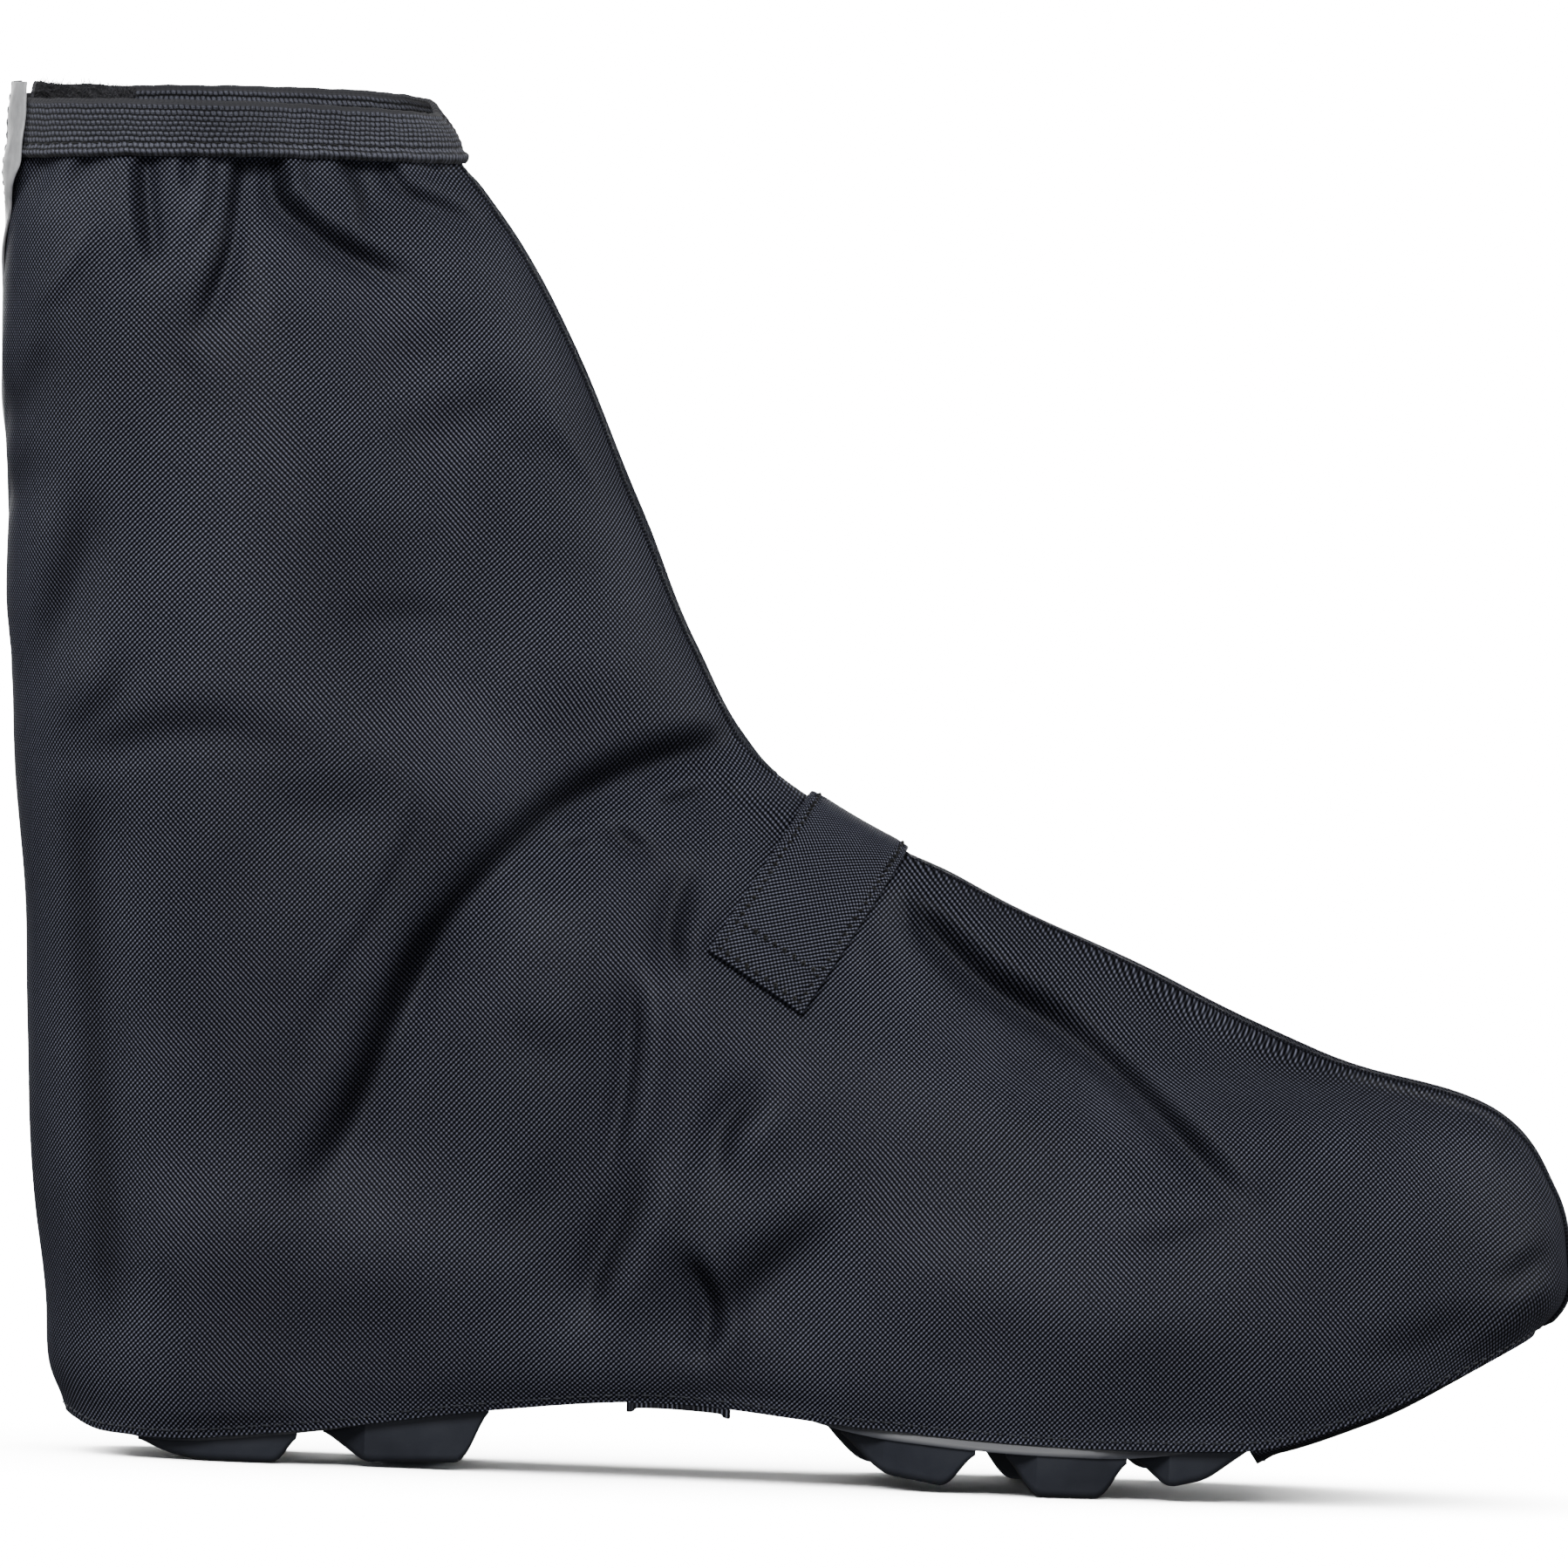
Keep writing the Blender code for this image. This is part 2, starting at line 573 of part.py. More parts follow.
def add_rear_strip(name, span, finish, parent):
    """A strip of the rear closing flap, which climbs over the elastic at the collar."""
    level = rows_between(*FLAP_LEVELS)[:, None]
    width = np.linspace(*span, FLAP_COLUMNS)[None, :] - FLAP_PULL * ease(*PULL_RISE, level)
    level, width = np.broadcast_arrays(level, width)
    lateral = width_turn(level, np.maximum(-width, 0), False, False)
    medial = width_turn(level, np.maximum(width, 0), False, True)
    turn = np.where(width < 0, lateral, medial)
    base = FLAP_LIFT + (BAND_THICKNESS + GAP) * ease(*FLAP_RISE, level)
    points, faces = overlay(level, turn, base, FLAP_THICKNESS)
    return add_solid(name, points, faces, finish, parent)


def add_loop_patch(finish, parent):
    """The loop tape inside the rear of the collar, on the medial side."""
    level = rows_between(*PATCH_LEVELS)[:, None]
    width = np.linspace(*PATCH_Y, PATCH_COLUMNS)[None, :]
    level, width = np.broadcast_arrays(level, width)
    turn = width_turn(level, width, False, True)
    base = -(WALL + GAP + PATCH_THICKNESS)
    points, faces = overlay(level, turn, base, PATCH_THICKNESS)
    return add_solid("loop_patch", points, faces, finish, parent)


def stand_on_origin(parent):
    """Moves the part so that the middle of its box's underside is the origin."""
    bpy.context.view_layer.update()
    graph = bpy.context.evaluated_depsgraph_get()
    corners = []
    for child in parent.children:
        if not child.hide_render:
            shape = child.evaluated_get(graph)
            corners += [shape.matrix_world @ Vector(corner) for corner in shape.bound_box]
    corners = np.array(corners)
    low, high = corners.min(axis=0), corners.max(axis=0)
    parent.location = (-(low[0] + high[0]) / 2, -(low[1] + high[1]) / 2, -low[2])


def main():
    for old in list(bpy.data.objects):
        bpy.data.objects.remove(old, do_unlink=True)
    overshoe = bpy.data.objects.new("overshoe", None)
    bpy.context.scene.collection.objects.link(overshoe)
    add_upper(FABRIC, overshoe)
    add_outsole(RUBBER, overshoe)
    add_collar_band(ELASTIC, overshoe)
    add_instep_strap(FABRIC, overshoe)
    add_front_seam("front_seam_shaft", SHAFT_SEAM, FABRIC, overshoe)
    add_front_seam("front_seam_foot", FOOT_SEAM, FABRIC, overshoe)
    add_rear_strip("reflective_tape", TAPE_Y, REFLECTIVE, overshoe)
    add_rear_strip("rear_flap", FLAP_Y, FABRIC, overshoe)
    add_loop_patch(ELASTIC, overshoe)
    add_toe_panel(FABRIC, overshoe)
    add_underfoot_strap(ELASTIC, overshoe)
    stand_on_origin(overshoe)


main()
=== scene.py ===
"""Looks of the overshoe: woven cloth with its folds, ribbed elastic, webbing, stitching and moulded rubber.

Tables are in millimetres in the last's own frame, and to_frame() moves points into the part's frame in
metres. X runs from heel to toe, Y from the lateral to the medial side, Z up from the floor. The cloth is one
surface: a level picks a ring between hem and collar, and a turn goes round that ring, from the heel (0)
by the lateral side to the toe (pi) and back. Folds push that surface in and out.
"""

import math
from collections import namedtuple

import bmesh
import bpy
import numpy as np
from mathutils import Matrix, Vector


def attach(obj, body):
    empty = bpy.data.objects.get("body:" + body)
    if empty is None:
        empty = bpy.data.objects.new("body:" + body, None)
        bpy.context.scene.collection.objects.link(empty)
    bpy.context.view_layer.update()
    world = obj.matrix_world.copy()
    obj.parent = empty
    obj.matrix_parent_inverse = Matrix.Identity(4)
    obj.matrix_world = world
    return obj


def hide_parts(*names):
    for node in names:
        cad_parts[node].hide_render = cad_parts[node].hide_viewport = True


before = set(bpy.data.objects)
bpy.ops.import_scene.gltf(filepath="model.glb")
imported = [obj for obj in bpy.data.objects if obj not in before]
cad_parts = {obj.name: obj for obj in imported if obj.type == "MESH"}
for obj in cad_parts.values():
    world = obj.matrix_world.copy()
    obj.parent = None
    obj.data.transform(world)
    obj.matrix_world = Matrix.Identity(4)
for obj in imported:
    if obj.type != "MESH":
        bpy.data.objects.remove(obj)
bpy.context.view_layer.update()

MM = 0.001
ORIGIN = np.array([171.436, 4.081, 0.0])  # the part's origin, in the last's millimetres
BODY = "root"

# Sizes of the last
WALL = 1.2
TOE_SWING = 9.0
SWING_FROM, SWING_TO = 190.0, 341.0
MEDIAL_ARCH = 4.0
COLLAR_ARCH = 2.2
TOE_RISE = 3.0
HEM_FADE = 4.0
HEEL_AT, WAIST_AT, BALL_AT = 0.20, 0.45, 0.72
BACK_POWER = 2.2
Ring = namedtuple(
    "Ring", "name back_x back_z front_x front_z heel waist ball back_nose front_nose front_power"
)
RINGS = [
    Ring("hem", 24.0, 8.6, 335.0, 36.5, 34.0, 40.0, 52.0, 38.0, 70.0, 2.4),
    Ring("heel_curve", 19.6, 18.5, 340.5, 43.0, 37.0, 43.5, 54.0, 42.0, 74.0, 2.4),
    Ring("toe_tip", 18.2, 33.0, 341.5, 50.5, 39.0, 45.0, 54.0, 44.0, 78.0, 2.4),
    Ring("toe_face", 16.4, 50.0, 338.0, 66.5, 41.0, 46.0, 52.5, 45.0, 84.0, 2.2),
    Ring("toe_top", 14.6, 70.0, 325.0, 82.5, 42.5, 46.0, 49.0, 46.0, 95.0, 2.0),
    Ring("vamp", 12.8, 92.0, 287.0, 93.0, 44.0, 46.0, 44.0, 47.0, 110.0, 1.8),
    Ring("ball", 11.2, 113.0, 245.0, 111.6, 45.5, 46.5, 41.0, 48.0, 110.0, 1.8),
    Ring("instep", 9.4, 134.0, 205.2, 129.3, 46.5, 47.0, 39.0, 49.0, 100.0, 1.8),
    Ring("ankle", 7.6, 156.0, 168.2, 150.0, 47.0, 47.5, 38.0, 50.0, 88.0, 1.85),
    Ring("shaft_low", 6.2, 176.0, 150.4, 175.5, 47.0, 48.0, 39.0, 51.0, 76.0, 1.9),
    Ring("shaft_mid", 4.2, 204.0, 137.4, 203.5, 46.5, 48.0, 39.0, 52.0, 70.0, 1.9),
    Ring("shaft_high", 2.4, 234.0, 124.4, 234.0, 44.5, 46.0, 37.5, 50.0, 64.0, 1.95),
    Ring("gather", 2.0, 258.0, 110.2, 258.4, 41.0, 42.5, 35.0, 47.0, 58.0, 2.0),
    Ring("band_low", 3.6, 273.6, 97.6, 275.6, 36.0, 37.5, 31.0, 43.0, 50.0, 2.0),
    Ring("rim", 4.4, 286.6, 90.8, 287.6, 35.5, 37.0, 30.5, 42.0, 48.0, 2.0),
]
LEVEL = {ring.name: index for index, ring in enumerate(RINGS)}
UPPER_TOP = LEVEL["band_low"] + 0.25
Station = namedtuple("Station", "x z")
HEM = [
    Station(24.0, 8.6),
    Station(30.0, 5.9),
    Station(38.0, 5.0),
    Station(70.0, 7.0),
    Station(114.0, 13.4),
    Station(148.0, 16.6),
    Station(188.0, 13.6),
    Station(232.0, 11.2),
    Station(264.0, 11.2),
    Station(277.0, 12.0),
    Station(298.0, 18.8),
    Station(320.0, 29.0),
    Station(335.0, 36.5),
]

# The turned-in hem from its raw edge to the fold: level, lift and drop, and the length of cloth to the fold
HemTurn = namedtuple("HemTurn", "level lift drop run")
HEM_TURN = [
    HemTurn(0.35, -1.35, 0.0, 8.0),
    HemTurn(0.12, -1.35, 0.0, 3.4),
    HemTurn(0.0, -1.15, 0.3, 1.5),
    HemTurn(0.0, -0.6, 0.5, 0.85),
    HemTurn(0.0, 0.0, 0.3, 0.3),
]

# Folds of one side in side view: soft troughs along a path of x and z, with a ridge on the left of it.
# A negative depth makes a bulge. The fades are the shares of the path over which a fold grows and dies.
Fold = namedtuple("Fold", "name path width depth ridge fade_in fade_out")
FOLDS = [
    Fold("ankle_low", ((69, 55), (78, 64), (86, 79), (93, 98), (103, 118)), 4.8, 7.5, 0.8, 0.5, 0.2),
    Fold("ankle_mid", ((91, 92), (97, 108), (104, 119), (113, 130), (125, 140)), 4.4, 7.0, 0.8, 0.35, 0.35),
    Fold("ankle_high", ((110, 127), (123, 139), (136, 147), (149, 152), (165, 156)), 4.6, 9.0, 1.2, 0.3, 0.2),
    Fold(
        "ankle_roll",
        ((72, 72), (84, 96), (98, 121), (116, 141), (138, 154), (160, 160)),
        11.0, 1.2, 1.8, 0.3, 0.2,
    ),
    Fold("ankle_foot", ((101, 88), (110, 107), (127, 128)), 8.0, -1.6, 0.0, 0.3, 0.3),
    Fold("instep", ((193, 127), (204, 117), (217, 106), (230, 99), (243, 90)), 4.2, 9.0, 2.6, 0.25, 0.3),
    Fold("instep_fall", ((230, 99), (243, 90), (255, 79), (266, 68), (276, 59)), 3.4, 7.0, 1.8, 0.3, 0.5),
    Fold("instep_roll", ((203, 124), (220, 112), (238, 101), (256, 86)), 9.0, 0.8, 1.4, 0.3, 0.4),
    Fold("instep_upper", ((238, 110), (251, 102), (264, 92)), 3.0, 1.4, 0.3, 0.4, 0.4),
    Fold("vamp", ((276, 59), (282, 73), (292, 84)), 4.0, 0.8, 0.4, 0.2, 0.6),
    Fold("strap_top", ((157, 149), (161, 144), (173, 143)), 1.8, 1.6, 0.4, 0.2, 0.2),
    Fold("strap_pucker", ((143, 141), (150, 143), (158, 147)), 2.4, 3.6, 1.4, 0.3, 0.3),
    Fold("strap_side", ((152, 133), (149, 121), (148, 113), (153, 103)), 3.6, 5.0, 1.6, 0.3, 0.3),
    Fold("strap_front", ((187, 122), (190, 112), (196, 104)), 3.0, 1.2, 0.4, 0.3, 0.4),
    Fold("dent_front", ((134, 138), (138, 134), (145, 131)), 2.8, 3.4, 1.2, 0.3, 0.3),
    Fold("dent_rear", ((120, 133), (127, 132), (134, 134)), 2.6, 2.6, 1.0, 0.3, 0.3),
    Fold("mid_dent", ((112, 98), (121, 90), (133, 89)), 5.5, 1.0, 0.3, 0.3, 0.3),
    Fold("mid_thin", ((140, 110), (141, 94), (140, 81), (136, 57)), 2.8, 4.0, 1.4, 0.3, 0.3),
    Fold("mid_low", ((144, 71), (140, 55), (135, 42), (134, 32)), 4.2, 5.0, 1.4, 0.3, 0.3),
    Fold("mid_rear", ((125, 68), (120, 55), (115, 46)), 4.5, 1.6, 0.6, 0.4, 0.4),
    Fold("mid_front", ((170, 86), (161, 76), (159, 60)), 4.2, 4.2, 1.2, 0.3, 0.4),
    Fold("arch", ((152, 50), (158, 41), (160, 34), (157, 25)), 2.8, 6.0, 1.8, 0.3, 0.3),
    Fold("arch_front", ((163, 33), (168, 40), (178, 49), (188, 60)), 6.0, 4.2, 0.8, 0.3, 0.3),
    Fold("heel_thin", ((68, 66), (75, 96), (86, 117), (93, 134), (96, 147)), 1.8, 0.5, 0.3, 0.4, 0.3),
    Fold("heel_bulge", ((12, 50), (64, 46), (100, 42), (142, 36)), 15.0, -2.2, 0.0, 0.1, 0.3),
    Fold("ball_bulge", ((180, 52), (205, 44), (237, 40), (268, 38), (300, 44)), 14.0, -3.0, 0.0, 0.3, 0.3),
    Fold("ball_wrinkle", ((243, 51), (258, 55), (276, 61)), 3.2, 0.9, 0.5, 0.4, 0.4),
    Fold("toe_top", ((326, 73), (329, 81)), 2.6, 1.3, 0.5, 0.3, 0.3),
    Fold("toe_tip", ((326, 46), (338, 55)), 3.4, 2.0, 1.0, 0.4, 0.3),
    Fold("toe_low", ((296, 29), (312, 35), (326, 43)), 5.0, 1.8, 0.5, 0.4, 0.3),
    Fold("sag", ((10, 145), (30, 150), (42, 154), (57, 154), (80, 148)), 4.6, 2.0, 0.7, 0.3, 0.5),
    Fold("sag_low", ((60, 141), (79, 138), (96, 146)), 7.0, 1.2, 0.4, 0.4, 0.4),
    Fold("shaft_small", ((74, 176), (90, 180), (103, 178)), 4.0, 1.4, 0.4, 0.4, 0.4),
    Fold("shaft_front", ((84, 212), (100, 221), (114, 228)), 6.0, 2.2, 0.5, 0.4, 0.3),
    Fold("shaft_seam", ((103, 211), (117, 216), (129, 208)), 4.5, 0.9, 0.4, 0.4, 0.2),
    Fold("seam_bulge", ((116, 228), (124, 216), (133, 206)), 3.0, -1.2, 0.0, 0.3, 0.3),
    Fold("shaft_soft", ((78, 227), (90, 234), (106, 241)), 6.0, 1.8, 0.5, 0.4, 0.4),
    Fold("shaft_spot", ((40, 234), (42, 227)), 3.2, 1.0, 0.4, 0.3, 0.3),
    Fold("back_high", ((5, 216), (9, 225), (14, 237)), 4.4, 2.6, 1.0, 0.3, 0.3),
    Fold("back_mid", ((5, 198), (10, 212)), 4.0, 2.0, 0.7, 0.3, 0.3),
    Fold("back_long", ((12, 159), (17, 176), (20, 186), (22, 195), (21, 209)), 5.2, 4.2, 1.6, 0.3, 0.3),
    Fold("back_turn", ((17, 150), (25, 156), (31, 163), (30, 174)), 4.0, 1.8, 0.7, 0.3, 0.3),
    Fold("heel_side", ((37, 20), (34, 50), (30, 87), (26, 126), (24, 145)), 6.0, 4.8, 0.4, 0.2, 0.2),
    Fold("back_bulge", ((7, 239), (15, 250), (22, 261)), 2.6, -1.4, 0.0, 0.3, 0.3),
    Fold("gather_a", ((7, 263), (10, 276.5)), 2.0, 2.6, 0.9, 0.6, 0.0),
    Fold("gather_b", ((15, 264), (20, 277)), 2.0, 2.8, 1.1, 0.6, 0.0),
    Fold("gather_c", ((35, 250), (32, 264), (31, 277)), 2.3, 4.2, 2.0, 0.35, 0.0),
    Fold("gather_d", ((41, 265), (40, 277)), 1.8, 2.6, 1.1, 0.6, 0.0),
    Fold("gather_e", ((42, 253), (46, 264), (47, 277)), 2.0, 2.6, 1.1, 0.6, 0.0),
    Fold("gather_f", ((43, 235), (49, 252), (51, 263), (52.5, 277)), 2.5, 4.2, 1.8, 0.3, 0.0),
    Fold("gather_g", ((58, 278), (59, 267), (66, 261), (74, 256), (90, 249)), 2.9, 5.4, 2.2, 0.0, 0.2),
    Fold("gather_h", ((67, 264), (65, 277)), 1.7, 2.2, 0.8, 0.6, 0.0),
    Fold("gather_i", ((79, 259), (78, 269), (72, 278)), 2.2, 3.6, 1.2, 0.35, 0.0),
    Fold("gather_j", ((80, 278), (86, 269), (94, 266), (107, 260)), 2.2, 3.0, 1.2, 0.0, 0.35),
    Fold("gather_k", ((88, 279), (97, 271)), 1.8, 2.4, 0.8, 0.0, 0.7),
]
PATH_STEPS, FOLD_REACH = 9, 8  # samples for each point of a fold's path, and its reach in trough widths
RIDGE_PLACE, RIDGE_SPREAD = 1.7, 1.2  # where a fold's ridge lies and how wide it is, in trough widths
STEEP_SHARE, SOFT_SHARE = 0.7, 0.5  # a trough is steep towards its ridge and rises softly on the right
SOFT_PLACE, SOFT_SPREAD = 1.4, 2.2
CREASE_SHADE_PLACE, CREASE_SHADE_SPREAD, CREASE_SHADE_DEPTH = 0.5, 0.7, 7.5  # the steep side where painted crease shade lies, its spread, and the fold depth at which that painted shade is darkest
MEDIAL_FOLD_SHIFT = (4.0, -3.0)  # the medial side's folds lie a little apart from the lateral ones
FOLD_HEADING = (0.15, 1.0, 0.08)  # shares of the normal that folds follow: mostly to the side
SEAM_CALM = (0.5, 7.0)  # folds die away towards the front seam and the back
STRAP_CALM, STRAP_CALM_ACROSS, STRAP_CALM_ALONG = 0.85, (11.0, 18.0), (22.0, 32.0)  # and under the strap
SHIFT_FADE, TOP_CALM, HEM_CALM = (11.0, 12.5), (12.86, 13.0), (0.0, 0.5)  # levels where these end or begin
WAVE_COUNT, WAVE_SEED = 26, 11
WAVE_LENGTHS, WAVE_HEIGHT = (26.0, 95.0), 0.002

# Mesh density of the pieces
LATERAL_TURNS, LATERAL_ROWS = 300, 300
MEDIAL_TURNS, MEDIAL_ROWS = 220, 240
MIDDLE_DENSITY = 0.35  # how much denser the columns lie along the sides than round the ends
LINING_TURNS, LINING_ROWS = 150, 190
LINING_FROM, LINING_GAP, LINING_FOLD = 0.3, 0.9, 1.15  # first level, gap to the wall, and depth of its folds
FLAT_TURNS, FLAT_ROWS = 64, 72
FLATTEN_STEPS, FLATTEN_PUSH, EVEN_STEPS = 1500, 0.28, 12
BAND_TURNS, RIB_ROWS = 150, 6
SEAM_ROWS, SEAM_COLUMNS = 120, 13
FLAP_ROWS, FLAP_COLUMNS = 140, 15
PATCH_ROWS, PATCH_COLUMNS = 40, 50
TOE_ROWS, TOE_COLUMNS = 70, 48
ARCH_ROWS, ARCH_COLUMNS = 45, 40

# Sizes of bands, overlays and stitches
BAND_RIBS, RIB_PITCH, RIB_HEIGHT, KNIT_PITCH = 9, 1.3, 0.2, 1.2
BAND_INNER, BAND_OUTER = 0.35, 1.7
Rim = namedtuple("Rim", "turn shift")  # how far the rim stands off the last's top, at shares of half a turn
RIM = [
    Rim(0.0, -1.0),
    Rim(0.5, -2.0),
    Rim(0.85, -2.3),
    Rim(0.93, -2.5),
    Rim(1.0, -2.3),
    Rim(1.07, 0.0),
    Rim(1.15, 0.6),
    Rim(1.5, 0.3),
    Rim(1.85, -0.2),
    Rim(2.0, -1.0),
]
BAND_FRONT_BULGE = 1.1
STRAP_WIDTH, STRAP_LIFT, STRAP_THICKNESS = 24.0, 0.35, 1.5
STRAP_SLOPE = math.radians(58.4)
STRAP_CENTRE = (176.5, 122.0)
STRAP_END, STRAP_TAB, STRAP_SEAM = 19.4, 11.0, 10.2
STRAP_ROW_PLACES = (1.9, 9.2)  # rows of stitches across the strap, from its end
STRAP_COLUMNS, STRAP_ROWS = 61, 190
SEAM_HALF_WIDTH = 4.0
SEAM_SPANS = {"front_seam_shaft": (7.95, 12.99), "front_seam_foot": (0.15, 7.25)}
FLAP_LEVELS = (7.5, 14.0)
FLAP_RISE = (12.1, 12.75)
FLAP_LIFT, FLAP_CLIMB, FLAP_THICKNESS = 0.2, 2.0, 0.6
FLAP_PULL, PULL_RISE = 23.5, (11.0, 12.9)
TAPE_RISE = 2.4  # how far the strips stand above the last's top
TAPE_Y, FLAP_Y = (8.0, 20.0), (20.3, 35.0)
PATCH_Y, PATCH_LEVELS, PATCH_THICKNESS, PATCH_TOP = (1.0, 33.0), (12.3, 14.0), 1.2, 2.9
TUFTS, TUFT_SEED = 9000, 5
TUFT_HALF_WIDTH = 0.09
Stitch = namedtuple("Stitch", "radius length gap")
STRAP_PUCKER = 0.25
STRAP_STITCH = Stitch(0.42, 1.1, 1.5)
TAB_STITCH = Stitch(0.62, 1.2, 1.4)
FINE_STITCH = Stitch(0.18, 2.0, 0.7)
STITCH_RINGS, STITCH_SIDES = 7, 6
ROW_START = 0.03  # turn at which the rows round the hem and collar begin
HEM_ROW_STEPS, HEM_ROW_HEIGHT, HEM_ROW_STEP = 1800, 1.5, 0.2  # the last in levels
COLLAR_ROW_STEPS, COLLAR_ROW_LEVEL = 900, 0.16
ARCH_STRAP_X, ARCH_STRAP_THICKNESS, ARCH_STRAP_EDGE = (143.0, 165.0), 1.3, 2.1
TOE_PANEL_FROM, TOE_PANEL_THICKNESS, TOE_PANEL_EDGE = 275.0, 2.2, 3.8
TOE_PANEL_TO = 0.993  # where it ends, as a share of the way round to the toe
TOE_TAPER, TOE_TAPER_DEPTH = (302.0, 331.0), 0.85  # where it thins, and by what share
TOE_BINDING_MIDDLE, TOE_BINDING_REACH = 1.5, 2.4  # the bound rear edge
ARCH_BINDING = (1.2, 2.2)  # from the edge, where the binding of the arch band ends
HEM_INSET, HEM_GAP = 0.2, 0.25  # how far pieces under the hem lie inside and below its edge

# Sole
SoleEdge = namedtuple("SoleEdge", "x drop flare")
SOLE_EDGE = [
    SoleEdge(24.0, -0.8, 0.0),
    SoleEdge(40.0, 0.6, 0.0),
    SoleEdge(76.0, 0.8, 0.0),
    SoleEdge(114.0, -0.6, 0.0),
    SoleEdge(132.0, -1.5, 0.0),
    SoleEdge(172.0, -1.4, 0.0),
    SoleEdge(188.0, 1.4, 0.0),
    SoleEdge(196.0, 2.3, 0.0),
    SoleEdge(206.0, 2.4, 2.3),
    SoleEdge(236.0, 2.4, 2.3),
    SoleEdge(246.0, 2.3, 0.0),
    SoleEdge(256.0, 1.5, 0.0),
    SoleEdge(264.0, 0.4, 0.0),
    SoleEdge(274.0, -0.5, 0.0),
    SoleEdge(335.0, -0.5, 0.0),
]
SOLE_THICKNESS, RAND_HEIGHT, RAND_SHOULDER = 3.0, 0.9, 1.3
LEDGE_STARTS, LEDGE_ENDS = (190.0, 206.0), (236.0, 250.0)  # where the rand's shoulder turns light grey
SOLE_TURNS, SOLE_COLUMNS = 240, 16
Lug = namedtuple("Lug", "name rear_top rear_low front_low front_top rear_z front_z width chamfer curve")
LUGS = [
    Lug("heel_rear", 40.0, 56.0, 70.0, 73.5, 0.0, 0.0, 22.0, 3.0, 2.2),
    Lug("heel_front", 79.0, 88.0, 109.0, 114.0, 0.9, 1.6, 25.0, 9.0, 1.0),
    Lug("ball_rear", 188.5, 198.0, 211.0, 217.0, 3.2, 1.2, 27.0, 6.0, 1.2),
    Lug("ball", 223.5, 230.0, 244.0, 249.0, 0.0, 0.0, 29.0, 5.0, 1.2),
    Lug("toe", 251.0, 258.0, 266.0, 275.5, 2.8, 4.8, 27.0, 8.0, 1.2),
]
MEDIAL_SHIFT = {"heel_rear": 0.0, "heel_front": 0.0, "ball_rear": -5.0, "ball": -6.0, "toe": -5.0}
LUG_ROOT, LUG_SKIN, LUG_DRAFT, LUG_INSET, LUG_ROUND = 0.6, 0.4, 0.22, 0.4, 1.7
RAMP_STEPS, LUG_STATIONS, LUG_ARC = 6, 40, 6

# The rolled selvage, the hollow above it and the rolled rim. Place and reach are shares of the band's height.
Roll = namedtuple("Roll", "place reach height")
BAND_ROLLS = [Roll(0.055, 0.05, 0.5), Roll(0.16, 0.03, -0.3), Roll(0.96, 0.04, 0.15)]
RIB_SINK, BAND_END = 0.2, 0.35  # how far the ribs lie sunk in, and how far the band's two edges stand out
SEAM_RIB, SEAM_GROOVE = 0.35, 0.15  # height of the seam's middle rib, and depth beside its stitches
SEAM_UNDER, SEAM_FACE, SEAM_THICKNESS, SEAM_END = 0.05, 0.15, 0.5, 0.35  # the last in levels
FLAP_CREASE, FLAP_CREASE_FROM = 0.15, (8.0, 9.0)  # its height, and the levels over which it grows
STRAP_GROOVE, STRAP_TAB_LIFT = 0.8, 0.6  # reach of a row's groove, and how far the doubled end stands out

# Materials
CROWN_HIGHLIGHT_POWER, WEAVE_DEPTH = 3.3, 0.12  # how small and bright the painted crown highlights of a weave are, and how high the crowns stand
CREASE_SHADE_STRENGTH = 0.6  # how much painted shade darkens the cloth's colour where it lies folded in
# painted highlight colour along the elastic band's rim
RIM_PAINTED_HIGHLIGHT = (0.06, 0.06, 0.068, 1.0)
LEDGE_GREY = (0.36, 0.365, 0.38, 1.0)

# Studio, in metres and watts
Lamp = namedtuple("Lamp", "name place power size")
LAMPS = [
    Lamp("front", (-0.3, -1.7, 1.2), 23.0, (0.85, 0.7)),
    Lamp("low", (0.2, -2.6, 0.3), 9.0, (1.8, 0.5)),
    Lamp("right_rim", (1.9, 0.3, 0.8), 14.0, (0.8, 1.2)),
    Lamp("left_rim", (-1.9, 0.0, 1.0), 14.0, (0.8, 1.2)),
    Lamp("back", (-0.1, 2.2, 0.4), 20.0, (1.6, 0.5)),
]
LAMP_TARGET = (0.0, 0.0, 0.14)
WHITE, WORLD_LIGHT = (1.0, 1.0, 1.0, 1.0), 0.06
FLOOR_RADIUS, FLOOR_HEIGHT, FLOOR_GREY = 60.0, -0.0002, (0.9, 0.9, 0.9, 1.0)
FLOOR_LIGHT, FLOOR_LIGHT_ANGLE = 64.0, math.radians(120)
SURROUND_RADIUS, SURROUND_GLOW = 70.0, 17.0

# Camera, in the last's millimetres: a long lens, almost level, rolled as in the photograph
CAMERA_DISTANCE, CAMERA_ELEVATION, CAMERA_ROLL = 8000.0, math.radians(1.8), math.radians(2.25)
FRAME_WIDTH = 332.6
CAMERA_TARGET = (171.1, 4.1, 146.6)


def smooth(knots, values, at):
    """A cubic curve through the knots, with slopes from their neighbours, held level past the ends."""
    knots, values = np.asarray(knots, float), np.asarray(values, float)
    at = np.clip(np.asarray(at, float), knots[0], knots[-1])
    slopes = np.gradient(values, knots)
    left = np.clip(np.searchsorted(knots, at, side="right") - 1, 0, len(knots) - 2)
    step = knots[left + 1] - knots[left]
    share = (at - knots[left]) / step
    rise = values[left + 1] - values[left]
    enter, leave = slopes[left] * step, slopes[left + 1] * step
    bend = share * (1 - share) * ((1 - share) * (enter - rise) + share * (rise - leave))
    return values[left] + share * rise + bend


def ease(low, high, at):
    share = np.clip((np.asarray(at, float) - low) / (high - low), 0, 1)
    return share * share * (3 - 2 * share)


def bell(at, middle, reach):
    return np.exp(-(((at - middle) / reach) ** 2))


